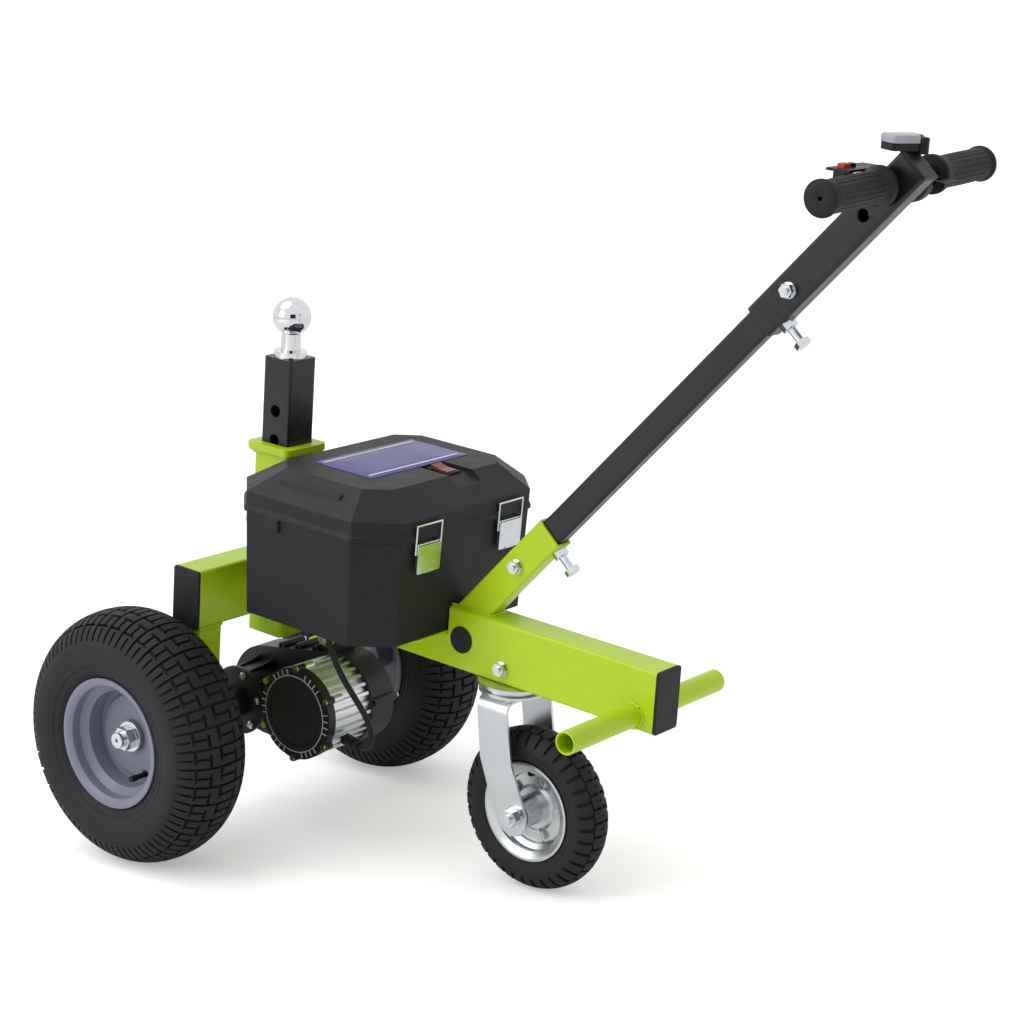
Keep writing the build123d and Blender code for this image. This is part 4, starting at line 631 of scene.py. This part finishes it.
DRIVE_SIDE = [
    (145.2, 49.0, 1.0), (141.5, 51.6, 0.9), (137.5, 53.8, 0.6), (134.0, 55.2, 0.3), (131.8, 55.9, 0.0),
    (131.0, 56.6, 0.0), (127.0, 57.2, 0.0), (122.0, 57.5, 0.0), (116.0, 57.3, 0.0), (111.0, 56.6, 0.0),
    (106.0, 55.4, 0.0), (103.6, 54.6, 0.0), (102.4, 55.0, 0.0), (100.8, 54.3, 0.0), (99.6, 53.0, 0.0),
    (95.0, 51.8, 0.0), (93.4, 52.4, 0.0), (91.2, 51.6, 0.0), (89.4, 49.6, 0.0), (87.2, 48.0, 0.0),
    (85.6, 46.6, 0.0), (80.0, 45.6, 0.0)]
CASTER_SIDE = [
    (91.0, 23.4, 1.0), (88.0, 25.0, 0.8), (85.6, 25.9, 0.35), (83.6, 26.4, 0.0), (79.5, 27.0, 0.0),
    (75.0, 26.5, 0.0), (72.6, 25.5, 0.0), (71.4, 25.9, 0.0), (70.2, 25.2, 0.0), (67.6, 24.2, 0.0),
    (65.6, 23.2, 0.0), (63.9, 21.2, 0.0), (60.0, 20.4, 0.0)]


class DOLLY_OT_tyres(bpy.types.Operator):
    """Make the tyres with their treads, and the valves of the wheels"""

    bl_idname = "dolly.tyres"
    bl_label = "Tyres"

    def execute(self, context):
        rubber = MATERIALS["tyre_rubber"]
        across = sorted({-1.0, 1.0, -0.97, 0.97, 0.0, -0.3, -0.67, 0.4, 0.72,
                         *walled(TURF_MARKS, 0.045), *walled(TURF_MARKS, 0.03)})
        profile = tyre_profile(drive_crown, across, DRIVE_SIDE)
        for side, outward in (("left", -1), ("right", 1)):
            centre = Vector((AXLE_X, outward * DRIVE_Y, AXLE_Z))
            mesh = tyre_mesh(f"{side}_drive_tyre", centre, profile, DRIVE_PITCHES, turf_groove,
                             TURF_LINES, DRIVE_DEPTH, phase=-0.3)
            tyre = add_object(f"{side}_drive_tyre", mesh, rubber, f"{side}_wheel")
            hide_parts(f"{side}_tyre")
            spot = centre + Vector((-outward * 20.0, 0, -48.0))
            make_valve(f"{side}_valve", spot, outward, 32.5, f"{side}_wheel")
        centre = stood(CASTER_HUB) * 1000
        across = sorted({0.0, -1.0, 1.0, 0.3, -0.3, 0.8, -0.8, *walled(BLOCK_MARKS, 0.01)})
        profile = tyre_profile(caster_crown, across, CASTER_SIDE)
        mesh = tyre_mesh("caster_wheel_tyre", centre, profile, CASTER_PITCHES, block_groove, BLOCK_LINES,
                         CASTER_DEPTH, phase=-0.4)
        tyre = add_object("caster_wheel_tyre", mesh, rubber, "caster_wheel")
        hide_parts("caster_tyre")
        make_valve("caster_valve", centre + Vector((0, 0, 46.0)), -1, 13.0, "caster_wheel")
        return {"FINISHED"}


def make_valve(name, spot, outward, length, body):
    """Rubber valve stem with its cap, standing out of a rim."""
    profile = [(0.01, -1), (5.2, -1), (5.0, 3), (4.2, 6), (3.6, 8), (3.4, length - 12), (3.3, length - 11),
               (4.0, length - 10.8), (4.0, length - 1), (3.4, length), (0.01, length)]
    rings = turned_rings([(r / 1000, outward * y / 1000) for r, y in profile], spot / 1000, 32)
    mesh = ring_mesh(name, rings)
    keep_edges(mesh, 45)
    add_object(name, mesh, MATERIALS["lead_rubber"], body)


# Grips

HANDLE_FOOT_X, HANDLE_FOOT_Z = 414.4, 437.55
HANDLE_SLOPE = math.radians(49.07)
BAR_ALONG, BAR_ABOVE = 715, 6.6
BAR = Vector((HANDLE_FOOT_X + BAR_ALONG * math.cos(HANDLE_SLOPE) - BAR_ABOVE * math.sin(HANDLE_SLOPE), 0,
              HANDLE_FOOT_Z + BAR_ALONG * math.sin(HANDLE_SLOPE) + BAR_ABOVE * math.cos(HANDLE_SLOPE)))
BAR_TILT = Matrix.Rotation(math.radians(2.2), 3, "X")
GRIP_ENDS = ((-144.5, -23.5), (197.0, 81.0))
GRIP_STEPS = 144
RIB_COUNT, RIB_DEPTH = 20, 1.15


class DOLLY_OT_grips(bpy.types.Operator):
    """Make the ribbed rubber grips"""

    bl_idname = "dolly.grips"
    bl_label = "Grips"

    def execute(self, context):
        whole = merge_parts("ribbed_grips", [self.grip(start, end) for start, end in GRIP_ENDS], 45)
        piece = add_object("ribbed_grips", whole, MATERIALS["grip_rubber"], "frame")
        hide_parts("grips")
        return {"FINISHED"}

    def grip(self, start, end):
        """One grip, from its closed end to its flange."""
        length = abs(end - start)
        way = 1 if end > start else -1
        profile = [(2.5, 3.5), (2.5, 0.3), (3.0, 0.0), (18.8, 0.0), (19.8, 0.8), (20.2, 2.2), (20.2, 4.4),
                   (19.6, 5.6), (18.2, 7.0), (17.6, 9.0)]
        body = [10 + i * (length - 30) / 26 for i in range(27)]
        profile += [(17.9 + 0.5 * math.sin(math.pi * (b - 10) / (length - 30)), b) for b in body]
        profile += [(17.8, length - 18), (19.0, length - 14), (20.8, length - 10), (21.6, length - 8),
                    (22.0, length - 6), (22.0, length - 1.5), (21.4, length - 0.2), (11.1, length)]
        rings = []
        for radius, along in profile:
            ring = []
            for j in range(GRIP_STEPS):
                a = 2 * math.pi * j / GRIP_STEPS
                r = radius - self.rib(a, along, length)
                place = Vector((r * math.cos(a), start + way * along, r * math.sin(a)))
                ring.append(stood(BAR + BAR_TILT @ place))
            rings.append(ring)
        return ring_mesh("grip", rings)

    def rib(self, angle, along, length):
        """Depth of the long looped grooves in the grip's body."""
        inset = 13 + 5 * abs(math.sin(angle * 6))
        if not inset < along < length - inset - 6:
            return 0.0
        return RIB_DEPTH * max(0.0, math.cos(angle * RIB_COUNT)) ** 0.5


# Welds, labels and marks

BEAD_STEP = 2.2


def bead_along(points, radius, closed):
    """Rings of a rippled weld bead along level-frame points in millimetres."""
    spots = []
    count = len(points) if closed else len(points) - 1
    for i in range(count):
        a, b = Vector(points[i]), Vector(points[(i + 1) % len(points)])
        pieces = max(1, round((b - a).length / BEAD_STEP))
        spots += [a.lerp(b, k / pieces) for k in range(pieces)]
    if not closed:
        spots.append(Vector(points[-1]))
    rings = []
    for i, spot in enumerate(spots):
        before = spots[i - 1] if closed or i else spots[i]
        after = spots[(i + 1) % len(spots)] if closed or i < len(spots) - 1 else spots[i]
        way = (after - before).normalized()
        side = way.orthogonal().normalized()
        other = way.cross(side)
        size = radius * (1.0 + 0.12 * math.sin(i * 2.1) + 0.08 * math.sin(i * 0.9 + 1))
        if not closed and i in (0, len(spots) - 1):
            size *= 0.35
        rings.append([stood(spot + (side * c + other * s) * size) for c, s in circle(10)])
    if closed:
        rings.append(rings[0])
    return rings


def square_round(x0, x1, y0, y1, z):
    """Corners of a level rectangle."""
    return [(x0, y0, z), (x1, y0, z), (x1, y1, z), (x0, y1, z)]


def circle_round(radius, x, y, z):
    """Points on a circle round an axis along Y."""
    return [(x + radius * c, y, z + radius * s) for c, s in circle(28)]


BEAM_BACK, BEAM_FRONT = -10.2, 35.8
BEAM_LOW, BEAM_TOP = 298.7, 376.6


def weld_lines():
    """Level-frame runs of the frame's welds, each with whether it closes on itself."""
    runs = []
    for side in (-1, 1):
        inner = side * 29.9
        runs.append(([(BEAM_BACK, inner, BEAM_LOW), (BEAM_BACK, inner, BEAM_TOP)], False))
        runs.append(([(BEAM_BACK, inner, BEAM_TOP), (BEAM_FRONT, inner, BEAM_TOP)], False))
        runs.append(([(BEAM_FRONT, inner, BEAM_TOP), (BEAM_FRONT, inner, BEAM_LOW)], False))
        runs.append(([(BEAM_BACK, inner, BEAM_LOW), (BEAM_FRONT, inner, BEAM_LOW)], False))
        out, leg = side * 163.4, side * 122.6
        runs.append(([(BEAM_BACK, out, BEAM_LOW), (BEAM_BACK, leg, BEAM_LOW)], False))
        runs.append(([(BEAM_FRONT, out, BEAM_LOW), (BEAM_FRONT, leg, BEAM_LOW)], False))
        runs.append(([(BEAM_BACK, leg, BEAM_LOW), (BEAM_FRONT, leg, BEAM_LOW)], False))
        runs.append((circle_round(23.0, 0, side * 116.4, 165.0), True))
        runs.append((circle_round(15.0, 617.5, side * 23.2, 315.5), True))
        runs.append(([(50.1, side * 23.0, BEAM_LOW), (50.1, side * 23.0, 341.1)], False))
        runs.append(([(328.0, side * 13.7, 376.8), (391.0, side * 13.7, 376.8)], False))
    runs.append(([(50.1, -23.0, BEAM_LOW), (50.1, 23.0, BEAM_LOW)], False))
    runs.append(([(391.0, -13.7, 376.8), (391.0, 13.7, 376.8)], False))
    runs.append((square_round(-9.0, 50.3, -29.6, 29.6, 506.0), True))
    return runs


class DOLLY_OT_welds(bpy.types.Operator):
    """Lay the painted weld beads of the frame"""

    bl_idname = "dolly.welds"
    bl_label = "Weld beads"

    def execute(self, context):
        radius = context.scene.dolly_detail.weld_radius * 1000
        beads = [ring_mesh("bead", bead_along(points, radius, closed)) for points, closed in weld_lines()]
        mesh = merge_parts("weld_beads", beads, None)
        add_object("weld_beads", mesh, MATERIALS["frame_paint"], "frame")
        return {"FINISHED"}


def lid_plate(name, corners, z, thick, radius, material):
    """Thin rounded plate on top of the lid, from two opposite corners in level-frame millimetres."""
    (x0, y0), (x1, y1) = corners
    outline = []
    for cx, cy, start in ((x1 - radius, y1 - radius, 0), (x0 + radius, y1 - radius, 90),
                          (x0 + radius, y0 + radius, 180), (x1 - radius, y0 + radius, 270)):
        for k in range(7):
            a = math.radians(start + 15 * k)
            outline.append((cx + radius * math.cos(a), cy + radius * math.sin(a)))
    centre = ((x0 + x1) / 2, (y0 + y1) / 2)
    rings = []
    for scale, height in ((1.0, 0.0), (1.0, thick * 0.8), (0.997, thick), (0.5, thick), (0.001, thick)):
        rings.append([stood((centre[0] + (x - centre[0]) * scale,
                             centre[1] + (y - centre[1]) * scale, z + height)) for x, y in outline])
    mesh = ring_mesh(name, rings)
    keep_edges(mesh, 30)
    add_object(name, mesh, material, "lid")


CAP_CENTRE = Vector((129.62, -79.9, 189.96))


class DOLLY_OT_labels(bpy.types.Operator):
    """Lay the plain label on the lid and the pale marks on the motor's end cap"""

    bl_idname = "dolly.labels"
    bl_label = "Label and marks"

    def execute(self, context):
        blue, pale = MATERIALS["label"], MATERIALS["label_edge"]
        lid_plate("lid_label", ((150, -85), (247, 100)), 533.1, 0.5, 3, blue)
        for name, x in (("lid_label_line", 234), ("lid_label_band", 157)):
            lid_plate(name, ((x, -78), (x + 3.5, 93)), 533.5, 0.35, 1, pale)
        self.cap_marks()
        return {"FINISHED"}

    def cap_marks(self):
        """Thin bright ring and spokes on the face of the motor's cap."""
        profile = [(50.2, 0.3), (50.2, -0.35), (51.3, -0.35), (51.3, 0.3)]
        rings = [[stood(p) for p in ring] for ring in turned_rings(profile, CAP_CENTRE, 96)]
        parts = [ring_mesh("ring", rings)]
        section = ((-0.5, 1.8), (-0.5, -0.1), (0.5, -0.1), (0.5, 1.8))
        for group in range(6):
            for k in range(4):
                out, across = out_and_across(math.radians(60 * group + 60 + (k - 1.5) * 9))
                rings = [[stood(CAP_CENTRE + out * along + across * s + Vector((0, y, 0)))
                          for s, y in section] for along in (51.0, 58.8)]
                parts.append(ring_mesh("spoke", rings, closed_ends=True))
        mesh = merge_parts("motor_cap_marks", parts)
        add_object("motor_cap_marks", mesh, MATERIALS["silver_plastic"], "frame")


# Castings and trim

RIB_HALF, RIB_FOOT = 1.8, 41.0
RIB_TOPS = ((2.0, 50.0), (-6.0, 49.2), (-20.0, 47.2), (-36.0, 45.0), (-47.0, 43.4))
FLANGE = [(40.5, -44.0), (44.0, -46.0), (46.0, -47.2), (46.6, -48.4), (46.6, -51.6), (45.8, -52.8),
          (43.5, -53.4), (30.0, -53.4)]
SCREW_CIRCLE = 38.5


def bell_rib(angle):
    """Rib along the bell of the gear case, higher towards the case, with a rounded back."""
    out, across = out_and_across(angle)
    rings = []
    for y, top in RIB_TOPS:
        shape = ((-1.2, RIB_FOOT), (-1.0, top - 1.2), (-0.45, top), (0.45, top), (1.0, top - 1.2),
                 (1.2, RIB_FOOT))
        rings.append([stood(Vector((0, y, AXLE_Z)) + out * r + across * s * RIB_HALF) for s, r in shape])
    return ring_mesh("rib", rings, closed_ends=True)


HEX_SHAPE = ((1.45, 0.0, False), (1.45, 0.18, False), (1.1, 0.24, False), (1.0, 0.26, True),
             (1.0, 0.85, True), (0.86, 1.0, True), (0.002, 1.0, True))


def hex_head(centre, radius, height):
    """Six-sided bolt head towards -Y with a flange under it and a chamfered top."""
    x, y, z = centre
    part = math.pi / 6
    rings = []
    for size, rise, six_sided in HEX_SHAPE:
        ring = []
        for j in range(24):
            a = 2 * math.pi * j / 24
            r = radius * size
            if six_sided:
                r *= math.cos(part) / math.cos((a + part) % (2 * part) - part)
            ring.append(stood((x + r * math.cos(a), y - rise * height, z + r * math.sin(a))))
        rings.append(ring)
    return ring_mesh("head", rings)


BOX_BACK, BOX_FRONT, BOX_HALF_WIDTH = 69.0, 335.0, 167.5
BOX_CUT, CORNER_SOFTENING = 45.4, 5


def cut_corner_ring(inset, z):
    """The box's outline at a height, drawn in all round by the inset, with softened corners."""
    x0, x1, y1 = BOX_BACK + inset, BOX_FRONT - inset, BOX_HALF_WIDTH - inset
    c = BOX_CUT - inset * (2 - math.sqrt(2))
    corners = [(x0 + c, -y1), (x1 - c, -y1), (x1, -y1 + c), (x1, y1 - c),
               (x1 - c, y1), (x0 + c, y1), (x0, y1 - c), (x0, -y1 + c)]
    ring = []
    for i, corner in enumerate(corners):
        here, before, after = Vector(corner), Vector(corners[i - 1]), Vector(corners[(i + 1) % 8])
        start = here + (before - here).normalized() * CORNER_SOFTENING
        end = here + (after - here).normalized() * CORNER_SOFTENING
        for k in range(5):
            t = k / 4
            spot = start.lerp(here, t).lerp(here.lerp(end, t), t)
            ring.append(stood((spot.x, spot.y, z)))
    return ring


LID_RIM = ((0.6, 477.6), (-1.6, 477.6), (-2.4, 478.2), (-2.6, 479.4), (-2.4, 481.4), (-1.4, 484.0),
           (0.6, 486.5))
LEDGE_FOOT = (-144.5, 519.5)
LEDGE_SECTION = ((-138.5, 524.0), (-139.5, 526.4), (-146.5, 524.2), (-148.0, 523.0), (-150.5, 515.0),
                 (-147.0, 515.0))
LEDGE_RUN = ((150.0, 0.0), (153.0, 0.8), (155.0, 1.0), (247.0, 1.0), (249.0, 0.8), (252.0, 0.0))


class DOLLY_OT_lid_trim(bpy.types.Operator):
    """Make the lid's overhanging rim, its ledge and the small tab at the near side"""

    bl_idname = "dolly.lid_trim"
    bl_label = "Lid trim"

    def execute(self, context):
        plastic = MATERIALS["box_plastic"]
        rim = ring_mesh("rim", [cut_corner_ring(inset, z) for inset, z in LID_RIM])
        ledge = []
        foot_y, foot_z = LEDGE_FOOT
        for x, share in LEDGE_RUN:
            wide, high = 0.75 + 0.25 * share, 0.6 + 0.4 * share
            ledge.append([stood((x, foot_y + (y - foot_y) * wide, foot_z + (z - foot_z) * high))
                          for y, z in LEDGE_SECTION])
        tab = []
        for y, grow in ((-166.0, 0.0), (-169.6, 0.0), (-170.6, -1.2)):
            x0, x1, z0, z1 = 150.0 - grow, 172.0 + grow, 462.0 - grow, 479.0 + grow
            tab.append([stood(p) for p in ((x0, y, z0), (x1, y, z0), (x1, y, z1), (x0, y, z1))])
        parts = [rim, ring_mesh("ledge", ledge, closed_ends=True), ring_mesh("tab", tab, closed_ends=True)]
        add_object("lid_trim", merge_parts("lid_trim", parts, 30), plastic, "lid")
        return {"FINISHED"}


class DOLLY_OT_castings(bpy.types.Operator):
    """Make the ribs, the flange and the small screws of the gear case's bell"""

    bl_idname = "dolly.castings"
    bl_label = "Castings"

    def execute(self, context):
        parts = [bell_rib(2 * math.pi * (i + 0.5) / 12) for i in range(12)]
        rings = [[stood(p) for p in ring] for ring in turned_rings(FLANGE, (0, 0, AXLE_Z), 72)]
        parts.append(ring_mesh("flange", rings))
        ribs = merge_parts("bell_ribs", parts)
        add_object("bell_ribs", ribs, MATERIALS["case_paint"], "frame")
        heads = []
        for i in range(6):
            a = 2 * math.pi * (i + 0.25) / 6
            spot = (SCREW_CIRCLE * math.cos(a), -53.3, AXLE_Z + SCREW_CIRCLE * math.sin(a))
            heads.append(hex_head(spot, 3.6, 4.5))
        add_object("bell_screws", merge_parts("bell_screws", heads), MATERIALS["zinc"], "frame")
        return {"FINISHED"}


# Carried pieces

class DOLLY_OT_frame(bpy.types.Operator):
    """Dress the welded frame, the posts and their fasteners"""

    bl_idname = "dolly.frame"
    bl_label = "Frame"

    def execute(self, context):
        dress_group(context, "frame_paint", "tube_paint", "chrome", "zinc", "steel")
        return {"FINISHED"}


class DOLLY_OT_wheels(bpy.types.Operator):
    """Dress the drive wheels and the caster"""

    bl_idname = "dolly.wheels"
    bl_label = "Wheels"

    def execute(self, context):
        dress_group(context, "rim_paint", "tyre_rubber", "zinc_sheet")
        return {"FINISHED"}


class DOLLY_OT_drive(bpy.types.Operator):
    """Dress the motor and its gear case"""

    bl_idname = "dolly.drive"
    bl_label = "Motor and gears"

    def execute(self, context):
        dress_group(context, "case_paint", "cast_alloy", "brass", "magnet")
        return {"FINISHED"}


class DOLLY_OT_box(bpy.types.Operator):
    """Dress the battery box, its lid, its switch and the batteries"""

    bl_idname = "dolly.box"
    bl_label = "Battery box"

    def execute(self, context):
        dress_group(context, "box_plastic", "dark_plastic", "silver_plastic", "red_plastic", "rocker_red",
                    "battery_plastic")
        return {"FINISHED"}


class DOLLY_OT_controls(bpy.types.Operator):
    """Dress the grips"""

    bl_idname = "dolly.controls"
    bl_label = "Grips and controls"

    def execute(self, context):
        dress_group(context, "grip_rubber")
        return {"FINISHED"}


# Lead

LEAD_ROUTE = [(190.0, -92.0, 343.8), (190.0, -92.0, 322.0), (196.0, -88.0, 297.0), (210.0, -84.0, 268.0),
              (230.0, -77.0, 240.0), (243.0, -69.0, 218.0), (249.0, -62.0, 195.0), (244.0, -57.0, 175.0),
              (227.0, -50.0, 161.5), (205.0, -44.0, 161.0)]


class DOLLY_OT_lead(bpy.types.Operator):
    """Hang the motor's lead between the battery box and the motor"""

    bl_idname = "dolly.lead"
    bl_label = "Motor lead"

    def execute(self, context):
        curve = bpy.data.curves.new("Motor_lead", "CURVE")
        curve.dimensions = "3D"
        line = curve.splines.new("NURBS")
        points = [stood(p) for p in LEAD_ROUTE]
        line.points.add(len(points) - 1)
        for spot, place in zip(line.points, points):
            spot.co = (*place, 1.0)
        line.order_u = 3
        line.use_endpoint_u = True
        line.resolution_u = 12
        curve.bevel_depth = 0.004
        curve.bevel_resolution = 6
        curve.materials.append(MATERIALS["lead_rubber"])
        lead = bpy.data.objects.new("Motor_lead", curve)
        context.scene.collection.objects.link(lead)
        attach(lead, "frame")
        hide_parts("motor_lead")
        return {"FINISHED"}


# Panel and steps

class DOLLY_PT_panel(bpy.types.Panel):
    """Sidebar panel with the dolly's settings and pieces"""

    bl_label = "Trailer dolly"
    bl_idname = "DOLLY_PT_panel"
    bl_space_type = "VIEW_3D"
    bl_region_type = "UI"
    bl_category = "Dolly"

    def draw(self, context):
        layout = self.layout
        for group in (context.scene.dolly_finish, context.scene.dolly_detail, context.scene.dolly_stage):
            column = layout.column()
            for name in group.__annotations__:
                column.prop(group, name)
        for operator in OPERATORS:
            layout.operator(operator.bl_idname)


OPERATORS = (DOLLY_OT_stage, DOLLY_OT_frame, DOLLY_OT_wheels, DOLLY_OT_drive, DOLLY_OT_box,
             DOLLY_OT_controls, DOLLY_OT_lead, DOLLY_OT_tyres, DOLLY_OT_grips, DOLLY_OT_welds,
             DOLLY_OT_labels, DOLLY_OT_castings, DOLLY_OT_lid_trim)
CLASSES = (DollyFinish, DollyDetail, DollyStage, DOLLY_PT_panel) + OPERATORS


def register():
    """Adds the settings, the steps and the panel."""
    for item in CLASSES:
        bpy.utils.register_class(item)
    bpy.types.Scene.dolly_finish = bpy.props.PointerProperty(type=DollyFinish)
    bpy.types.Scene.dolly_detail = bpy.props.PointerProperty(type=DollyDetail)
    bpy.types.Scene.dolly_stage = bpy.props.PointerProperty(type=DollyStage)


def unregister():
    """Takes them away again."""
    del bpy.types.Scene.dolly_stage
    del bpy.types.Scene.dolly_detail
    del bpy.types.Scene.dolly_finish
    for item in reversed(CLASSES):
        bpy.utils.unregister_class(item)


def main():
    """Runs the steps in order."""
    register()
    make_materials(bpy.context.scene.dolly_finish)
    for step in ("stage", "frame", "wheels", "drive", "box", "controls", "lead", "tyres", "grips", "welds",
                 "labels", "castings", "lid_trim"):
        getattr(bpy.ops.dolly, step)()


if __name__ == "__main__":
    main()
